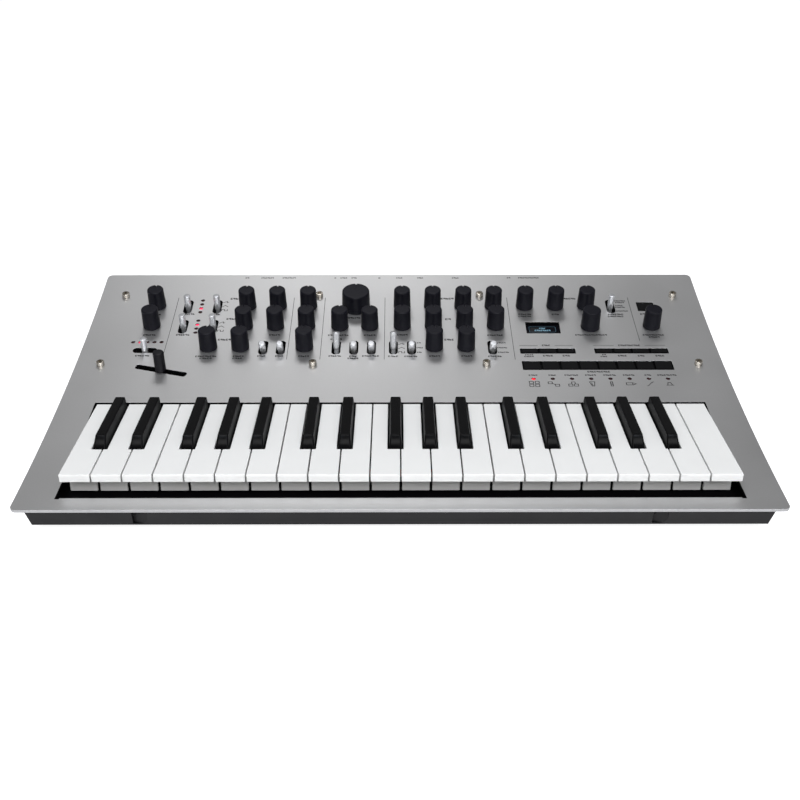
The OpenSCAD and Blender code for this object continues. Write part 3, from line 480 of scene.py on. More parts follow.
def placed(outline, x, y, turn=0.0):
    """An outline turned and moved to a place."""
    c, s = cos(turn), sin(turn)
    return [(x + c * u - s * v, y + s * u + c * v) for u, v in outline]


def subtract(mesh, cutter):
    """The mesh less the cutter, by an exact boolean."""
    body = new_object("cut_body", mesh)
    tool = new_object("cut_tool", cutter)
    modify(body, "cut", "BOOLEAN", operation="DIFFERENCE", solver="EXACT", object=tool)
    done = evaluated_mesh(body)
    bpy.data.objects.remove(tool)
    return done


def soften(node, width):
    """Rounds the sharp edges of a CAD node that stays, by modifiers."""
    target = NODES[node]
    modify(target, "weld", "WELD", merge_threshold=1e-6)
    modify(target, "flat", "DECIMATE", decimate_type="DISSOLVE", angle_limit=radians(0.3))
    modify(target, "edge", "BEVEL", width=width, segments=2, limit_method="ANGLE",
           angle_limit=radians(35), use_clamp_overlap=True)
    even_shading(target)


def dress(node, material, others=(), width=0.0):
    """Gives a CAD node that stays its material. others are (test, material): the solids whose
    size and lowest corner pass the test take that material."""
    mesh = NODES[node].data
    mesh.materials.clear()
    for each in [material] + [extra for _, extra in others]:
        mesh.materials.append(each)
    numbers = [0] * len(mesh.polygons)
    for points, polygons in loose_parts(node) if others else ():
        low, high = limits(points)
        found = [i + 1 for i, (test, _) in enumerate(others) if test(high - low, low)]
        for polygon in polygons:
            numbers[polygon] = found[0] if found else 0
    mesh.polygons.foreach_set("material_index", numbers)
    if width:
        soften(node, width)


# ---- what stands on the panel, found from the CAD parts

LEVER_NODES = sorted(node for node in NODES if node.startswith("lever"))
BUTTON_NODES = ["function_buttons", "step_buttons"]
# How much smaller than the parts behind them the windows are, across and along the panel
BUTTON_MARGIN, DISPLAY_MARGIN = (0.8 * MM, 0.1 * MM), (3 * MM, 1.4 * MM)
LED_R, SCREW_R, SHAFT_R = 1.5 * MM, 1.5 * MM, 3 * MM
SLOT_LENGTH, SLOT_WIDTH = 19 * MM, 7 * MM
BEND_SLOT_LENGTH, BEND_SLOT_WIDTH, BEND_SLOT_CORNER = 42 * MM, 5.8 * MM, 2 * MM
# The opening for the keys, with small reliefs at its front corners
OPENING_HALF, OPENING_MID = 224.3 * MM, 0.4 * MM
OPENING_S = (13.2 * MM, 127.9 * MM)
RELIEF_W, RELIEF_S = 3 * MM, 12.2 * MM


def panel_limits(points):
    """Lowest and highest x, s and h of some points."""
    return limits([panel_place(p) for p in points])


def find_levers():
    """Each lever as (node, pivot, turning axis, direction)."""
    found = []
    for node in LEVER_NODES:
        joint = JOINTS[node]
        for points, _ in loose_parts(node):
            centre = sum(points, Vector()) / len(points)
            pivot = Vector((centre.x, *joint["pos_m"][1:]))
            found.append((node, pivot, Vector(joint["axis"]), (centre - pivot).normalized()))
    return found


def find_windows():
    """The windows of the push buttons and the display, as (x, s, width, depth)."""
    spans = [(panel_limits(points), BUTTON_MARGIN)
             for node in BUTTON_NODES for points, _ in loose_parts(node)]
    spans.append((panel_limits(GLASS_POINTS), DISPLAY_MARGIN))
    return [((low.x + high.x) / 2, (low.y + high.y) / 2, high.x - low.x - across, high.y - low.y - along)
            for (low, high), (across, along) in spans]


def side_screw(p):
    """The two screws nearest the panel's front corners stand a little further out than in CAD."""
    at_corner = abs(p.x) > 190 * MM and p.y < 200 * MM
    return p + Vector((copysign(1.5 * MM, p.x), 0, 0)) if at_corner else p


GLASS_POINTS = max(loose_parts("display_module"), key=lambda part: panel_limits(part[0])[1].z)[0]
DISPLAY_GLASS = panel_limits(GLASS_POINTS)[1].z + 0.02 * MM
LEVERS = find_levers()
WINDOWS = find_windows()
LED_PLACES = [panel_place(middle(points)) for points, _ in loose_parts("indicator_leds")]
SCREW_PLACES = [middle(points) for points, _ in loose_parts("screws")]
UNDER_PANEL = -10 * MM
PANEL_SCREWS = [side_screw(panel_place(p)) for p in SCREW_PLACES if panel_place(p).z > UNDER_PANEL]
BOTTOM_SCREWS = [p for p in SCREW_PLACES if panel_place(p).z <= UNDER_PANEL]
KNOB_PLACES = {node: panel_place(JOINTS[node]["pos_m"]) for node in sorted(NODES) if node[:5] == "knob_"}
BEND_PLACE = panel_place(middle([v.co for v in NODES["pitch_lever"].data.vertices]))
BEND_AXIS = Vector(JOINTS["pitch_lever"]["axis"])
BEND_TURN = atan2(copysign(hypot(BEND_AXIS.y, BEND_AXIS.z), BEND_AXIS.y), BEND_AXIS.x)


# ---- the top panel

STRIP = 4 * MM


def bend_onto_panel(bm):
    """Cuts a flat (x, s, h) mesh into narrow strips and bends it onto the panel's curve."""
    low, high = limits([v.co for v in bm.verts])
    for i in range(ceil(low.y / STRIP), ceil(high.y / STRIP)):
        everything = bm.verts[:] + bm.edges[:] + bm.faces[:]
        bmesh.ops.bisect_plane(bm, geom=everything, plane_co=(0, i * STRIP, 0), plane_no=(0, 1, 0))
    for v in bm.verts:
        v.co = on_panel(*v.co)


def panel_outlines():
    """The sheet's outline and every opening in it, flat, as (x, s) points."""
    half = PANEL_LENGTH / 2
    near, far = OPENING_S
    a, b = OPENING_HALF, OPENING_HALF - RELIEF_W
    opening = [(-a, RELIEF_S), (-b, RELIEF_S), (-b, near), (b, near), (b, RELIEF_S), (a, RELIEF_S),
               (a, far), (-a, far)]
    outlines = [
        placed(rounded_outline(panel_high.x - panel_low.x, PANEL_LENGTH, PANEL_CORNER, 10), 0, half),
        placed(opening, OPENING_MID, 0),
        placed(rounded_outline(BEND_SLOT_LENGTH, BEND_SLOT_WIDTH, BEND_SLOT_CORNER, 8),
               BEND_PLACE.x, BEND_PLACE.y, BEND_TURN),
    ]
    for places, radius, steps in ((KNOB_PLACES.values(), SHAFT_R + 0.8 * MM, 40),
                                  (LED_PLACES, LED_R + 0.15 * MM, 24),
                                  (PANEL_SCREWS, SCREW_R + 0.2 * MM, 24)):
        outlines += [placed(circle_outline(radius, steps), p.x, p.y) for p in places]
    outlines += [placed(rounded_outline(w, d, 0.7 * MM), x, s) for x, s, w, d in WINDOWS]
    for _, pivot, axis, _ in LEVERS:
        place = panel_place(pivot)
        turn = pi / 2 if abs(axis.x) > 0.5 else 0
        slot = rounded_outline(SLOT_LENGTH, SLOT_WIDTH, SLOT_WIDTH / 2 - 1e-5, 10)
        outlines.append(placed(slot, place.x, place.y, turn))
    return outlines


def flat_sheet(outlines, thickness, edge):
    """A flat sheet with holes and softly rounded edges, its top face at h = 0."""
    curve = bpy.data.curves.new("sheet", "CURVE")
    curve.dimensions = "2D"
    curve.fill_mode = "BOTH"
    curve.extrude = thickness / 2 - edge
    curve.bevel_depth = edge
    curve.bevel_resolution = 2
    curve.offset = -edge
    for outline in outlines:
        line = curve.splines.new("POLY")
        line.points.add(len(outline) - 1)
        line.points.foreach_set("co", [c for x, y in outline for c in (x, y, 0, 1)])
        line.use_cyclic_u = True
    bm = from_mesh(evaluated_mesh(new_object("sheet", curve)))
    bmesh.ops.remove_doubles(bm, verts=bm.verts, dist=1e-6)
    bmesh.ops.translate(bm, verts=bm.verts, vec=(0, 0, -thickness / 2))
    return bm


def finish_sheet(mesh):
    """The sheet's two faces reflect as true curves; only its edges are rounded. The walls of the openings are
    black as painted shade, and the outer rim is bare metal."""
    near, rim = 0.01 * MM, 2 * MM
    normals = []
    for polygon in mesh.polygons:
        for i in polygon.vertices:
            vertex = mesh.vertices[i]
            h = panel_place(vertex.co).z
            side = (h > -near) - (h < near - PANEL_T)
            normals.append(side * outward(vertex.co) if side else vertex.normal.copy())
        # Opening walls take the black material, painted shade; the outer rim takes the cut edge
        if abs(polygon.normal.dot(outward(polygon.center))) < 0.5:
            place = panel_place(polygon.center)
            inside = abs(place.x) < panel_high.x - rim and rim < place.y < PANEL_LENGTH - rim
            polygon.material_index = 1 if inside else 2
    mesh.normals_split_custom_set(normals)


def make_top_panel():
    bm = flat_sheet(panel_outlines(), PANEL_T, 0.12 * MM)
    bend_onto_panel(bm)
    mesh = to_mesh(bm, "panel_sheet", 180)
    finish_sheet(mesh)
    piece("panel_sheet", mesh, [ALUMINIUM, COMPONENT_AND_SHADE_BLACK, CUT_EDGE], CHASSIS,
          ["top_panel"])


# ---- printing on the panel: generic bars and simple shapes, no lettering

INK_H = 0.02 * MM
CAPTION_HEIGHT, SECTION_HEIGHT, MODE_HEIGHT, SMALL_HEIGHT = 1.9 * MM, 2.3 * MM, 1.7 * MM, 1.5 * MM
RULE_WIDTH, ICON_LINE, WAVE_LINE = 0.35 * MM, 0.55 * MM, 0.5 * MM


class Print:
    """Flat marks gathered in (x, s) space, then bent onto the panel as one thin piece."""

    def __init__(self):
        self.bm = bmesh.new()

    def mark(self, outline):
        lower = [self.bm.verts.new((x, s, -INK_H)) for x, s in outline]
        upper = [self.bm.verts.new((x, s, INK_H)) for x, s in outline]
        self.bm.faces.new(upper)
        self.bm.faces.new(lower[::-1])
        walls(self.bm, [lower, upper])

    def bar(self, x, s, width, depth):
        """A bar centred on x and s."""
        self.mark(rectangle(x, s, width, depth))

    def stroke(self, points, width):
        """A line through points given as (x, s)."""
        for (x0, s0), (x1, s1) in zip(points, points[1:]):
            length = hypot(x1 - x0, s1 - s0)
            u, v = (x1 - x0) / length * width / 2, (s1 - s0) / length * width / 2
            self.mark([(x0 - u + v, s0 - v - u), (x1 + u + v, s1 + v - u),
                       (x1 + u - v, s1 + v + u), (x0 - u - v, s0 - v + u)])

    def drawing(self, x, s, lines, width):
        """Lines through points in mm about x and s."""
        for line in lines:
            self.stroke([(x + u * MM, s + v * MM) for u, v in line], width)

    def caption(self, x, s, width, height=CAPTION_HEIGHT):
        """A row of small hooked blocks, centred on x and s, in the place of a word."""
        count = max(1, round(width / (height * 0.95)))
        pitch = width / count
        line = height * 0.3
        block = pitch * 0.8
        for i in range(count):
            left = x - width / 2 + i * pitch + (pitch - block) / 2
            side = -1 if i % 3 == 1 else 1
            upright = left + line / 2 if side > 0 else left + block - line / 2
            self.bar(upright, s, line, height)
            hook_x = left + block / 2 + side * line / 2
            for row in ((-1, 1), (0, 1), (-1, 0))[i % 3]:
                self.bar(hook_x, s + row * (height - line) / 2, block - line, line)

    def piece(self, name, bend, material, slot):
        bend(self.bm)
        piece(name, to_mesh(self.bm, name), [material], CHASSIS)


# Captions as x, s and width in mm, in lists by their height. The tallest name the sections, partly
# behind knobs; the smallest are switch positions, two-line button names and the rear sockets
CAPTIONS = {CAPTION_HEIGHT: [
    (-200.3, 218.6, 10.2), (-200.8, 189.9, 11.4), (-173.3, 248, 10.3), (-173.6, 218.6, 11.1),
    (-150.1, 247.6, 5.7), (-150.1, 218.6, 5.7), (-151.1, 189, 16.8), (-151, 186.2, 9.7),
    (-125.9, 189, 8.7), (-126.2, 186.2, 8.1), (-108, 189.3, 6.5), (-94, 189.3, 6.5),
    (-36.8, 242.4, 10.2), (-49.1, 218, 16.7), (-23.9, 217.9, 9.4), (-50.5, 212.4, 9.4),
    (-50.6, 189.2, 10), (-36.5, 188.8, 6), (-36.4, 186, 8.6), (-22.7, 189.2, 13.5),
    (-5.1, 188.8, 8.1), (8.7, 188.7, 10.3), (74.3, 188.6, 10.8), (76.5, 217.7, 12.8),
    (102.9, 247.2, 10.8), (102.6, 244.3, 10.8), (128.1, 247.1, 6.3), (153.4, 218, 25.6),
    (177.6, 247, 12.6), (177.1, 244.1, 13.1), (203.3, 217.9, 17.2), (203.5, 215, 8.9),
    (200.8, 247.4, 6.3), (115.7, 203.6, 6.6), (181.4, 203.5, 17.6), (115.8, 189.3, 8.1),
    (130.1, 189.3, 6), (173.8, 189.2, 7), (188.5, 189.1, 5.4), (203.1, 189.1, 7),
    (152.2, 167.6, 17.5),
], SECTION_HEIGHT: [
    (-135.8, 270, 11), (-136, 241, 10.8), (-132.1, 211.9, 25.4), (40, 269.9, 11),
    (39.6, 240.3, 5.1), (39.4, 211.6, 7.7), (141.3, 269.7, 12.2),
], SMALL_HEIGHT: [
    (15.2, 207.2, 3.3), (15.9, 200.5, 5.3), (15.5, 194.2, 3.8), (80.5, 207.1, 7.2),
    (80.8, 200.4, 7.9), (81.4, 194.1, 8.7), (183.8, 266.4, 9.3), (183.4, 264, 7.6),
    (182.2, 259.6, 6.3), (182.7, 257.2, 8.1), (183.6, 251.8, 9.7), (101.1, 190.6, 6.5),
    (100.9, 188.3, 7.6), (159.7, 190.6, 3.3), (159.3, 188.2, 5.4), (-130.2, 300.5, 3.4),
    (-112.9, 300.5, 10.7), (-94.4, 300.5, 11.3), (-54.8, 300.4, 1.8), (-47.6, 300.4, 6),
    (-38.7, 300.4, 4.8), (-17, 300.3, 2.1), (0, 300.3, 5.4), (17.9, 300.3, 5), (48, 300.2, 6),
    (93.7, 300.3, 3.2), (110.7, 300.3, 17.9),
]}
# Knobs whose captions are in the list above
CAPTIONED = ["knob_" + name for name in (
    "tempo cross_modulation pitch_envelope filter_cutoff resonance filter_envelope mod_release "
    "delay_cutoff delay_time program_value voice_depth").split()]
# Thin lines as x, near end and far end of s
DIVIDERS = [(-184.6, 191.4, 271.6), (-87.9, 184.6, 271.5), (-62, 184.5, 271.5), (-12, 184.4, 271.4),
            (89.8, 184.3, 271.3), (191, 209.8, 271.3)]
# Lines beside the names of the button rows, as first and last x
RULES = [(94.7, 109.1), (122.7, 136.9), (153.1, 169.2), (194, 210)]
RULE_S = 203.5
WAVE_PLACES = [(-144.4, 259.4), (-144.2, 230.2), (1.6, 200.2)]
# Captions of the mode lights in mm, from left to right, and how far they and the icons are away
MODE_WIDTHS = [6.9, 5.8, 10.6, 8.3, 9.7, 9, 5.3, 14.8]
MODE_RISE, ICON_DROP = 4.7, 6.9
# Width of a caption in front of a knob, and its distance from the knob's middle
KNOB_CAPTION, KNOB_CAPTION_DROP = 8.6 * MM, 11.9 * MM


def square_line(*size):
    """A closed rectangle as a line, in mm."""
    return rectangle(*size) + rectangle(*size)[:1]


# Simple outline icons under the mode lights, as lines in mm about each icon's centre
ICONS = [
    [square_line(x, y, 3, 2.8) for x in (-2.2, 2.2) for y in (-2, 2)],
    [square_line(-2.6, 1.5, 3, 2.6), square_line(2.6, -1.8, 3, 2.6), [(-1.1, 0.8), (1.1, -1)]],
    [square_line(-2, -1.6, 3, 2.8), square_line(2.2, -1.6, 3, 2.8),
     [(-1, -0.2), (-1, 2.6), (1.6, 2.6), (1.6, -0.2)]],
    [[(-2, 2.8), (2, 2.8), (1.2, -2.8), (-0.6, -2.8), (-2, 2.8)], [(-0.6, 1.2), (0.2, -2.8)]],
    [[(-0.8, 2.8), (0.8, 2.8), (0.8, -2.8), (-0.8, -2.8), (-0.8, 2.8)],
     [(-0.8, 1), (0.8, 1)], [(-0.8, -1), (0.8, -1)]],
    [[(-3.6, 1.4), (1.4, 1.4), (3.8, 0), (1.4, -1.4), (-3.6, -1.4), (-3.6, 1.4)], [(1.2, 1.4), (1.2, -1.4)]],
    [[(-2.6, -2.6), (-1.2, -1.8)], [(-1.2, -0.9), (0.2, 0)],
     [(0.2, 0.9), (1.4, 1.4)], [(1.4, 2), (2.8, 2.6)]],
    [[(-2.6, -1.8), (2.6, -1.8)], [(-1.8, -1.6), (-1.2, 1.6), (0.8, 1.6), (1.8, -1.6)]],
]


# Saw, triangle and square wave signs, one above another, in the same way
WAVES = [
    [(-2.3, -6.8), (-2.3, -4.8), (0, -4.8), (0, -6.8), (2.3, -6.8), (2.3, -4.8)],
    [(-2.3, -1), (0, 1), (2.3, -1)],
    [(-2.3, 4.8), (1.15, 6.8), (1.15, 4.8), (2.3, 5.4)],
]


def make_print():
    ink = Print()
    for height, captions in CAPTIONS.items():
        for x, s, width in captions:
            ink.caption(x * MM, s * MM, width * MM, height)
    for node, place in KNOB_PLACES.items():
        if node not in CAPTIONED:
            ink.caption(place.x, place.y - KNOB_CAPTION_DROP, KNOB_CAPTION)
    for x, near, far in DIVIDERS:
        ink.bar(x * MM, (near + far) / 2 * MM, RULE_WIDTH, (far - near) * MM)
    for left, right in RULES:
        ink.bar((left + right) / 2 * MM, RULE_S * MM, (right - left) * MM, RULE_WIDTH)
    for x, s in WAVE_PLACES:
        ink.drawing(x * MM, s * MM, WAVES, WAVE_LINE)
    lights = sorted((p for p in LED_PLACES if p.x > 0), key=lambda p: p.x)
    for p, width, icon in zip(lights, MODE_WIDTHS, ICONS):
        ink.caption(p.x, p.y + MODE_RISE * MM, width * MM, MODE_HEIGHT)
        ink.drawing(p.x, p.y - ICON_DROP * MM, icon, ICON_LINE)
    ink.piece("panel_print", bend_onto_panel, PRINT, "sandblasted_aluminium")


# ---- knobs, levers, lights, display

KNOB_GAP, KNOB_FOOT, KNOB_RIM = 0.3 * MM, 0.4 * MM, 1 * MM
KNOB_TAPER = 0.9 * MM
SHAFT_BOTTOM = -8.3 * MM
POINTER_HALF, POINTER_DEPTH = 0.7 * MM, 1.3 * MM


def knob_mesh(width, height, pointer):
    """A knob cap with a soft rim and, unless plain, a pointer groove towards +Y."""
    base_r = width / 2
    top_r = base_r - KNOB_TAPER / 2
    lean = degrees(atan2(KNOB_TAPER / 2, height))
    profile = [(0, SHAFT_BOTTOM), (SHAFT_R, SHAFT_BOTTOM), (SHAFT_R, KNOB_GAP), (base_r - 0.5 * MM, KNOB_GAP)]
    profile += arc((base_r - KNOB_FOOT, KNOB_GAP + KNOB_FOOT), KNOB_FOOT, -80, 0, 4)
    profile += arc((top_r - KNOB_RIM, height - KNOB_RIM), KNOB_RIM, lean, 90, 8)
    profile += [(0.4 * top_r, height), (0, height)]
    mesh = to_mesh(lathe(profile, 96), "knob_cap")
    if not pointer:
        return mesh
    groove = block((-POINTER_HALF, top_r * 0.35, height - POINTER_DEPTH),
                   (POINTER_HALF, top_r + 2 * MM, height + MM), 0.12 * MM)
    return to_mesh(from_mesh(subtract(mesh, to_mesh(groove, "groove"))), "knob_cap", 40)


def make_knobs():
    meshes = {}
    for node, place in KNOB_PLACES.items():
        low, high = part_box(node)
        width = round(high.x - low.x, 4)
        height = round(max(panel_place(v.co).z for v in NODES[node].data.vertices), 4)
        pointer = node != "knob_program_value"
        key = (width, height, pointer)
        if key not in meshes:
            meshes[key] = knob_mesh(*key)
        even_shading(piece(node + "_cap", meshes[key], [KNOB], node, [node],
                           panel_frame(place.x, place.y)))


LEVER_LENGTH = 18.3 * MM
LEVER_TIP_R, LEVER_NECK_R, LEVER_ROOT_R = 2.6 * MM, 2.4 * MM, 2 * MM
LEVER_ROOT_LENGTH = 4 * MM
LEVER_RIM = 0.9 * MM
DRUM_R, DRUM_HALF, DRUM_EDGE = 1.8 * MM, 2.5 * MM, 0.2 * MM


def lever_parts(pivot, axis, direction):
    """A round lever with a flat end, and its pivot drum."""
    profile = [(0, 0), (LEVER_ROOT_R, 0), (LEVER_ROOT_R, LEVER_ROOT_LENGTH)]
    profile += arc((LEVER_NECK_R - 0.3 * MM, LEVER_ROOT_LENGTH + 1.1 * MM), 0.3 * MM, -45, 0, 3)
    profile += arc((LEVER_TIP_R - LEVER_RIM, LEVER_LENGTH - LEVER_RIM), LEVER_RIM, 0, 90, 8)
    profile += [(0, LEVER_LENGTH)]
    drum = [(0, -DRUM_HALF), (DRUM_R - DRUM_EDGE, -DRUM_HALF), (DRUM_R, DRUM_EDGE - DRUM_HALF),
            (DRUM_R, DRUM_HALF - DRUM_EDGE), (DRUM_R - DRUM_EDGE, DRUM_HALF), (0, DRUM_HALF)]
    basis = Matrix((axis, direction.cross(axis), direction)).transposed().to_4x4()
    place = move(pivot) @ basis
    return [(lathe(profile, 48), place, 0), (lathe(drum, 32), place @ ALONG_X, 1)]


def make_levers():
    """The levers of each node. Their flat ends are darker and duller than their sides, painted shade that
    tames their highlight.
    """
    for node in LEVER_NODES:
        parts = []
        for owner, *lever in LEVERS:
            parts += lever_parts(*lever) if owner == node else []
        bats = piece(node + "_bats", joined(parts, node), [CHROME, COMPONENT_AND_SHADE_BLACK, CHROME_PAINTED_SHADE_END], node,
                     [node])
        # Upward end faces take the darker chrome copy, painted shade
        for face in bats.data.polygons:
            if face.material_index == 0 and face.normal.z > 0.7:
                face.material_index = 2
        even_shading(bats)


# Lights that are on, as x and s: key shift, two octaves and the voice mode
LIT = [(-205.7, 208.8), (-163.9, 256.5), (-163.9, 233.3), (101.5, 158.5)]


def make_lenses():
    lens_top, dome = -0.25 * MM, 0.45 * MM
    base = lens_top - dome
    body = [(0, -9.3), (1.3, -9.3), (1.3, -5.4), (1.9, -5.4), (1.9, -4.4), (1.5, -4.4)]
    body = [(r * MM, h * MM) for r, h in body] + [(LED_R, base), (0, base)]
    turns = [t * pi / 12 for t in range(6)]
    cap = [(0, base)] + [(LED_R * cos(t), base + dome * sin(t)) for t in turns] + [(0, lens_top)]
    parts = []
    for p in LED_PLACES:
        on = any(hypot(p.x - x * MM, p.y - s * MM) < MM for x, s in LIT)
        place = panel_frame(p.x, p.y)
        lit = 2 if p.x > 0 else 1
        parts += [(lathe(body, 32), place, 0), (lathe(cap, 32), place, lit if on else 0)]
    piece("light_lenses", joined(parts, "light_lenses"), [LENS, LENS_LIT, LENS_RED], CHASSIS,
          ["indicator_leds"])


def make_display_marks():
    """A rounded frame line and two rows of small blocks behind the window."""
    on_glass = panel_frame(*WINDOWS[-1][:2]) @ move((0, 0, DISPLAY_GLASS))
    up = 1.6 * MM

    def lay_on_glass(bm):
        bm.transform(on_glass)

    border = Print()
    ring = placed(rounded_outline(21.4 * MM, 7.5 * MM, 1.2 * MM, 4), 0, up)
    border.stroke(ring + ring[:1], 0.22 * MM)
    border.piece("display_frame", lay_on_glass, FRAME_PIXELS, "display_glass")
    rows = Print()
    rows.caption(0, up + 1.6 * MM, 5 * MM, 1.5 * MM)
    rows.caption(0, up - 1.4 * MM, 13 * MM, 1.8 * MM)
    rows.piece("display_rows", lay_on_glass, PIXELS, "display_glass")


# ---- screws and feet

SCREW_HEAD_R, SCREW_HEAD_H = 3 * MM, 3.6 * MM
KNURL_RIDGES, KNURL_DEPTH = 36, 0.07 * MM
PAN_SCREW_LENGTH = 8.5 * MM


def cap_screw():
    """A socket-head cap screw with a knurled head, standing on z = 0."""
    r, top = SCREW_HEAD_R, SCREW_HEAD_H
    plain_top = top - 0.6 * MM

    def knurl(angle, radius, z):
        ridged = radius > r - 0.02 * MM and 0.2 * MM < z < plain_top
        return radius - KNURL_DEPTH * (0.5 + 0.5 * cos(angle * KNURL_RIDGES)) if ridged else radius

    profile = [(0, -10 * MM), (SCREW_R - 0.4 * MM, -10 * MM), (SCREW_R, -9.6 * MM), (SCREW_R, 0),
               (r - 0.15 * MM, 0), (r, 0.15 * MM), (r, 0.3 * MM), (r, plain_top - 0.05 * MM), (r, plain_top)]
    profile += arc((r - 0.5 * MM, top - 0.5 * MM), 0.5 * MM, 10, 90, 5)
    profile += [(1.75 * MM, top), (0, top)]
    head = to_mesh(lathe(profile, 4 * KNURL_RIDGES, knurl), "cap_screw")
    socket = prism(circle_outline(1.45 * MM, 6), top - 1.8 * MM, top + MM)
    return from_mesh(subtract(head, to_mesh(socket, "hexagon")))


def pan_screw():
    """A cross-recess pan-head screw that points up, its head's face at z = 0."""
    r, rim, end = SCREW_HEAD_R - 0.2 * MM, 0.9 * MM, PAN_SCREW_LENGTH
    profile = [(0, 0), (r - rim, 0)] + arc((r - rim, rim), rim, -80, 0, 5)
    profile += [(r, 1.9 * MM), (SCREW_R, 1.9 * MM), (SCREW_R, end - 0.3 * MM),
                (SCREW_R - 0.3 * MM, end), (0, end)]
    mesh = to_mesh(lathe(profile, 48), "pan_screw")
    for x, y in ((1.6 * MM, 0.3 * MM), (0.3 * MM, 1.6 * MM)):
        slot = block((-x, -y, -MM), (x, y, MM), 0.05 * MM)
        mesh = subtract(mesh, to_mesh(slot, "slot"))
    return from_mesh(mesh)


def make_screws():
    heads, tails = cap_screw(), pan_screw()
    lift = move((0, 0, 0.02 * MM))
    sink = move((0, 0, -PAN_SCREW_LENGTH / 2))
    parts = [(heads.copy(), panel_frame(p.x, p.y) @ lift, 0) for p in PANEL_SCREWS]
    parts += [(tails.copy(), move(p) @ sink, 0) for p in BOTTOM_SCREWS]
    heads.free()
    tails.free()
    even_shading(piece("screw_set", joined(parts, "screw_set", 40), [NICKEL], CHASSIS,
                       ["screws"]))


def make_feet():
    parts = []
    for points, _ in loose_parts("rubber_feet"):
        low, high = limits(points)
        r, h = (high.x - low.x) / 2, high.z
        groove = 0.4 * MM
        profile = [(0, groove), (r * 0.35, groove), (r * 0.38, 0), (r * 0.6, 0), (r * 0.62, groove),
                   (r * 0.68, groove), (r * 0.7, 0), (r - MM, 0)]
        profile += arc((r - MM, MM), MM, -75, 0, 5)
        profile += [(r, h - 0.3 * MM), (r - 0.3 * MM, h), (0, h)]
        centre = (low + high) / 2
        parts.append((lathe(profile, 72), move((centre.x, centre.y, 0)), 0))
    piece("round_feet", joined(parts, "round_feet"), [RUBBER], CHASSIS, ["rubber_feet"])


# ---- keys

WHITE_NODES = ["keys_" + name for name in "cdefgab"]
BLACK_NODES = ["keys_" + name + "_sharp" for name in "cdfga"]
KEY_TAIL_HALF = 3 * MM
KEY_ROD_BORE_R, KEY_EYE_R = 2.05 * MM, 3.6 * MM
KEY_CLEAR = 1.05 * MM
BLACK_FRONT = min(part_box(node)[0].y for node in BLACK_NODES)
WHITE_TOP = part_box("keys_c")[1].z
WHITE_ENDS = (min(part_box(node)[0].x for node in WHITE_NODES),
              max(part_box(node)[1].x for node in WHITE_NODES))
# The two end keys are this much wider outwards than in CAD
END_KEY_EXTRA = 0.8 * MM, 1.3 * MM


def key_bar(x, near, far, bottom, top, edge=0.4 * MM):
    """A bar under a key, as wide as the key's tail."""
    return block((x - KEY_TAIL_HALF, near, bottom), (x + KEY_TAIL_HALF, far, top), edge)


def key_tail(x, front_y, joint):
    """The arm behind a key and the eye that turns on the hinge rod, about the joint's axis."""
    _, pivot_y, pivot_z = joint["pos_m"]
    arm = key_bar(x, front_y, pivot_y - KEY_ROD_BORE_R - 0.3 * MM, pivot_z - 2.4 * MM,
                  pivot_z + 2.8 * MM, 0.3 * MM)
    w, edge, bore, r = KEY_TAIL_HALF, 0.2 * MM, KEY_ROD_BORE_R, KEY_EYE_R
    ring = lathe([(bore, -w), (r - edge, -w), (r, edge - w), (r, w - edge), (r - edge, w), (bore, w),
                  (bore, -w)], 48)
    return [(arm, STILL, 0), (ring, move((x, pivot_y, pivot_z)) @ ALONG_X, 0)]


def key_plunger(x, top):
    """The stud under a key that presses on its contact."""
    return key_bar(x, -65 * MM, -59 * MM, 24.3 * MM, top)


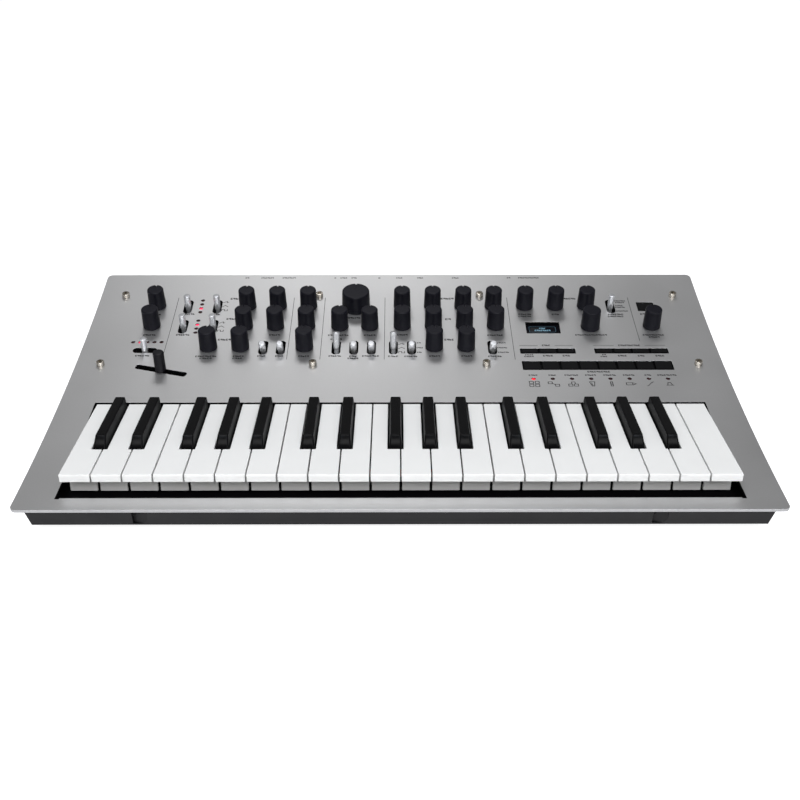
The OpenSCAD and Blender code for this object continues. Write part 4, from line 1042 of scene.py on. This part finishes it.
def white_key(points, joint):
    """A white key: a thin top slab over a body set back by a hair, a skirt and webs below."""
    low, high = limits(points)
    top = high.z
    near_top = [p for p in points if p.z > top - 0.5 * MM]
    rear = limits([p for p in near_top if p.y > BLACK_FRONT + 2 * MM])
    front = limits([p for p in near_top if p.y < BLACK_FRONT - 2 * MM])
    left, right, front_y, back_y = front[0].x, front[1].x, front[0].y, rear[1].y
    rear_left, rear_right = max(rear[0].x, left), min(rear[1].x, right)
    if left < WHITE_ENDS[0] + MM:
        left, rear_left = left - END_KEY_EXTRA[0], rear_left - END_KEY_EXTRA[0]
    if right > WHITE_ENDS[1] - MM:
        right, rear_right = right + END_KEY_EXTRA[1], rear_right + END_KEY_EXTRA[1]
    notch_y = BLACK_FRONT - KEY_CLEAR
    lip_z = min(p.z for p in points if p.y < front_y + 0.1 * MM)

    def outline(inset, setback):
        a, b = left + inset, right - inset
        c, d = rear_left + inset, rear_right - inset
        line = [(a, front_y + setback), (b, front_y + setback)]
        line += [(b, notch_y - inset), (d, notch_y - inset)] if b - d > 0.1 * MM else []
        line += [(d, back_y), (c, back_y)]
        line += [(c, notch_y - inset), (a, notch_y - inset)] if c - a > 0.1 * MM else []
        return line

    slab_z = top - 2.1 * MM
    slab = prism(outline(0, 0), slab_z, top)
    upright = [e for e in slab.edges if abs(e.verts[0].co.z - e.verts[1].co.z) > MM]
    bevel(slab, upright, 0.5 * MM, 3)
    above, below = top - 0.01 * MM, slab_z + 0.01 * MM
    bevel(slab, [e for e in sharp_edges(slab, 50) if min(v.co.z for v in e.verts) > above], 0.45 * MM, 4)
    bevel(slab, [e for e in sharp_edges(slab, 60) if max(v.co.z for v in e.verts) < below], 0.12 * MM, 2)
    core = prism(outline(0.12 * MM, 0.3 * MM), lip_z, slab_z + 0.05 * MM)
    bevel(core, sharp_edges(core, 50), 0.2 * MM, 2)
    foot_low, foot_high = limits([p for p in points if p.z < low.z + 0.1 * MM])
    skirt = block((foot_low.x, foot_low.y, low.z), (foot_high.x, foot_high.y, lip_z + MM), 0.5 * MM, 3)
    x = (rear[0].x + rear[1].x) / 2
    web = key_bar(x, foot_low.y + MM, back_y - 6 * MM, 27 * MM, lip_z + MM)
    parts = [(bm, STILL, 0) for bm in (slab, core, skirt, web, key_plunger(x, 28 * MM))]
    return parts + key_tail(x, back_y - 10 * MM, joint)


def black_key(points, joint):
    """A black key: a tapered cap with a slanted, well rounded front."""
    low, high = limits(points)
    top_low, top_high = limits([p for p in points if p.z > high.z - 0.05 * MM])
    bottom = min(p.z for p in points if p.y < low.y + 0.1 * MM)
    back_y = top_high.y
    rings = [(low.x, high.x, low.y, bottom), (low.x, high.x, low.y, WHITE_TOP),
             (top_low.x, top_high.x, top_low.y, high.z)]
    bm = bmesh.new()
    layers = [[bm.verts.new(c) for c in ((a, y, z), (b, y, z), (b, back_y, z), (a, back_y, z))]
              for a, b, y, z in rings]
    bm.faces.new(layers[0][::-1])
    bm.faces.new(layers[-1])
    walls(bm, layers)
    bmesh.ops.recalc_face_normals(bm, faces=bm.faces)
    front = [{layers[1][i], layers[2][i]} for i in (0, 1)]
    bevel(bm, [e for e in bm.edges if set(e.verts) in front], 1.1 * MM, 3)
    top_edges = [e for e in bm.edges if all(v.co.z > high.z - 0.01 * MM for v in e.verts)]
    bevel(bm, top_edges, 0.9 * MM, 5)
    bevel(bm, sharp_edges(bm, 48), 0.35 * MM, 3)
    x = (low.x + high.x) / 2
    return [(bm, STILL, 0), (key_plunger(x, 29.8 * MM), STILL, 0)] + key_tail(x, back_y - 8 * MM, joint)


def make_keys():
    """All the keys. The sides of black keys are rougher than their tops and fronts."""
    for nodes, build, materials, slot in ((WHITE_NODES, white_key, [WHITE_KEY], "white_keys"),
                                          (BLACK_NODES, black_key, [BLACK_KEY, BLACK_SIDE], "black_keys")):
        for node in nodes:
            parts = []
            for points, _ in loose_parts(node):
                parts += build(points, JOINTS[node])
            made = even_shading(piece(node + "_caps", joined(parts, node), materials, node, [node]))
            for polygon in made.data.polygons:
                polygon.material_index = len(materials) - 1 if abs(polygon.normal.x) > 0.9 else 0


# ---- CAD nodes that stay

BOARD_WIDTH, KEYBED_WIDTH = 0.2, 0.44
# The buttons' faces below this height over the panel are black, painted shade in the gaps between the caps
PAINTED_SHADE_BELOW = -0.6 * MM


def is_cable(size, low):
    return size.z > 12 * MM and size.y < MM or size.z < 0.6 * MM


def dress_cad_nodes():
    plain = [("lower_case", CASE, 0.35), ("rear_wood_panel", WOOD, 0.4), ("power_button", BUTTON, 0.3),
             ("pitch_lever", GRIP, 0), ("display_module", SMOKED, 0)]
    for node, material, width in plain + [(name, BUTTON, 0.2) for name in BUTTON_NODES]:
        dress(node, material, width=width * MM)
    dress("control_board", COMPONENT_AND_SHADE_BLACK, [(lambda size, low: size.x > BOARD_WIDTH, BOARD)])
    dress("socket_board", SOCKET, [
        (lambda size, low: size.x > BOARD_WIDTH and size.z < 2 * MM, BOARD),
        (lambda size, low: low.z + size.z < 36 * MM and low.z < 10 * MM, NICKEL),  # standoffs
        (is_cable, CABLE),
        (lambda size, low: size.x < 2.1 * MM and size.y > 9 * MM, NICKEL),  # the power inlet's pin
    ], width=0.2 * MM)
    dress("keybed", KEYBED, [
        (lambda size, low: size.x > KEYBED_WIDTH and max(size.yz) < 4 * MM and low.y > 0, STEEL),
        (lambda size, low: size.x > KEYBED_WIDTH and size.z < 2 * MM and low.z > 19 * MM, FELT),
        (lambda size, low: size.x > KEYBED_WIDTH and size.z < 2 * MM and low.z < 16 * MM, BOARD),
        (is_cable, CABLE),
    ])
    # Button faces sunk under the panel take the black material as painted shade between the caps
    for node in BUTTON_NODES:
        mesh = NODES[node].data
        mesh.materials.append(COMPONENT_AND_SHADE_BLACK)
        for polygon in mesh.polygons:
            if panel_place(polygon.center).z < PAINTED_SHADE_BELOW:
                polygon.material_index = len(mesh.materials) - 1


# ---- floor, lights, camera

# Brightness of the studio overhead and behind the camera; it is 1 round the horizon
OVERHEAD, BEHIND_CAMERA = 0.2, 0.12
EYE = (-1.89 * MM, -755.94 * MM, 394.54 * MM)
LOOK_DOWN, LOOK_RIGHT = radians(25.824), radians(0.158)
LENS_LENGTH = 49.888


def make_floor():
    """A pale table lit from below as well, so that shadows on it stay faint."""
    bm = bmesh.new()
    bmesh.ops.create_grid(bm, x_segments=1, y_segments=1, size=12)
    pale = Finish("pale_floor", (0.6, 0.6, 0.6), 0.9)
    pale.bump(pale.noise(300, 2), 0.01 * MM, 0.2)
    pale.set(Emission_Color=(1, 1, 1, 1), Emission_Strength=0.85, Specular_IOR_Level=0.1)
    floor = new_object("floor", to_mesh(bm, "floor"), pale.material)
    floor.location.z = -0.02 * MM


def softbox(name, centre, target, width, depth, radiance, colour=(1, 1, 1)):
    """A rectangular area light, its strength given as the brightness of its face."""
    light = bpy.data.lights.new(name, "AREA")
    light.shape = "RECTANGLE"
    light.size = width
    light.size_y = depth
    light.energy = pi * width * depth * radiance
    light.color = colour
    lamp = new_object(name, light)
    lamp.location = centre
    lamp.rotation_euler = (Vector(target) - Vector(centre)).to_track_quat("-Z", "Y").to_euler()


def calculate(tree, operation, *values):
    made = tree.nodes.new("ShaderNodeMath")
    made.operation = operation
    for value, socket in zip(values, made.inputs):
        tree.links.new(value, socket)
    return made.outputs["Value"]


def make_world():
    """A studio bright round the horizon, dimmer overhead and behind the camera, on a white backdrop."""
    world = bpy.data.worlds.new("studio")
    bpy.context.scene.world = world
    world.use_nodes = True
    tree = world.node_tree
    direction = tree.nodes.new("ShaderNodeTexCoord").outputs["Generated"]
    split = fill(tree, tree.nodes.new("ShaderNodeSeparateXYZ"), Vector=direction).outputs
    fall = map_range(tree, split["Z"], 0.02, 0.25, 1, OVERHEAD)
    front = map_range(tree, split["Y"], -0.97, -0.75, BEHIND_CAMERA, 1)
    seen = tree.nodes.new("ShaderNodeLightPath").outputs["Is Camera Ray"]
    strength = calculate(tree, "MAXIMUM", calculate(tree, "MULTIPLY", fall, front), seen)
    fill(tree, tree.nodes["Background"], Color=(1, 1, 1, 1), Strength=strength)


def make_lights():
    softbox("low_key", (0.1, -1.5, 1.0), (0, 0, 0), 1.8, 0.55, 4.9)
    softbox("high_key", (-0.05, -0.4, 1.9), (0, 0, 0), 1.6, 0.5, 6.5)
    softbox("reflector", (-0.198, 1.521, 2.578), (0, 0.05, 0), 0.9, 0.6, 4.3)
    for side in (-1, 1):
        softbox("fill", (side * 0.46, -1.0, 1.6), (0, 0, 0), 0.4, 0.4, 8, (0.8, 0.88, 1))


def make_camera():
    """The viewpoint in front of the keys, looking down on the panel."""
    data = bpy.data.cameras.new("camera")
    data.sensor_width = 36
    data.lens = LENS_LENGTH
    data.clip_start = 0.05
    camera = new_object("camera", data)
    camera.location = EYE
    camera.rotation_euler = (pi / 2 - LOOK_DOWN, 0, -LOOK_RIGHT)
    bpy.context.scene.camera = camera


make_camera()
make_floor()
make_world()
make_lights()
bpy.context.scene.view_settings.view_transform = "Standard"
make_top_panel()
make_print()
make_knobs()
make_levers()
make_lenses()
make_display_marks()
make_screws()
make_feet()
make_keys()
dress_cad_nodes()
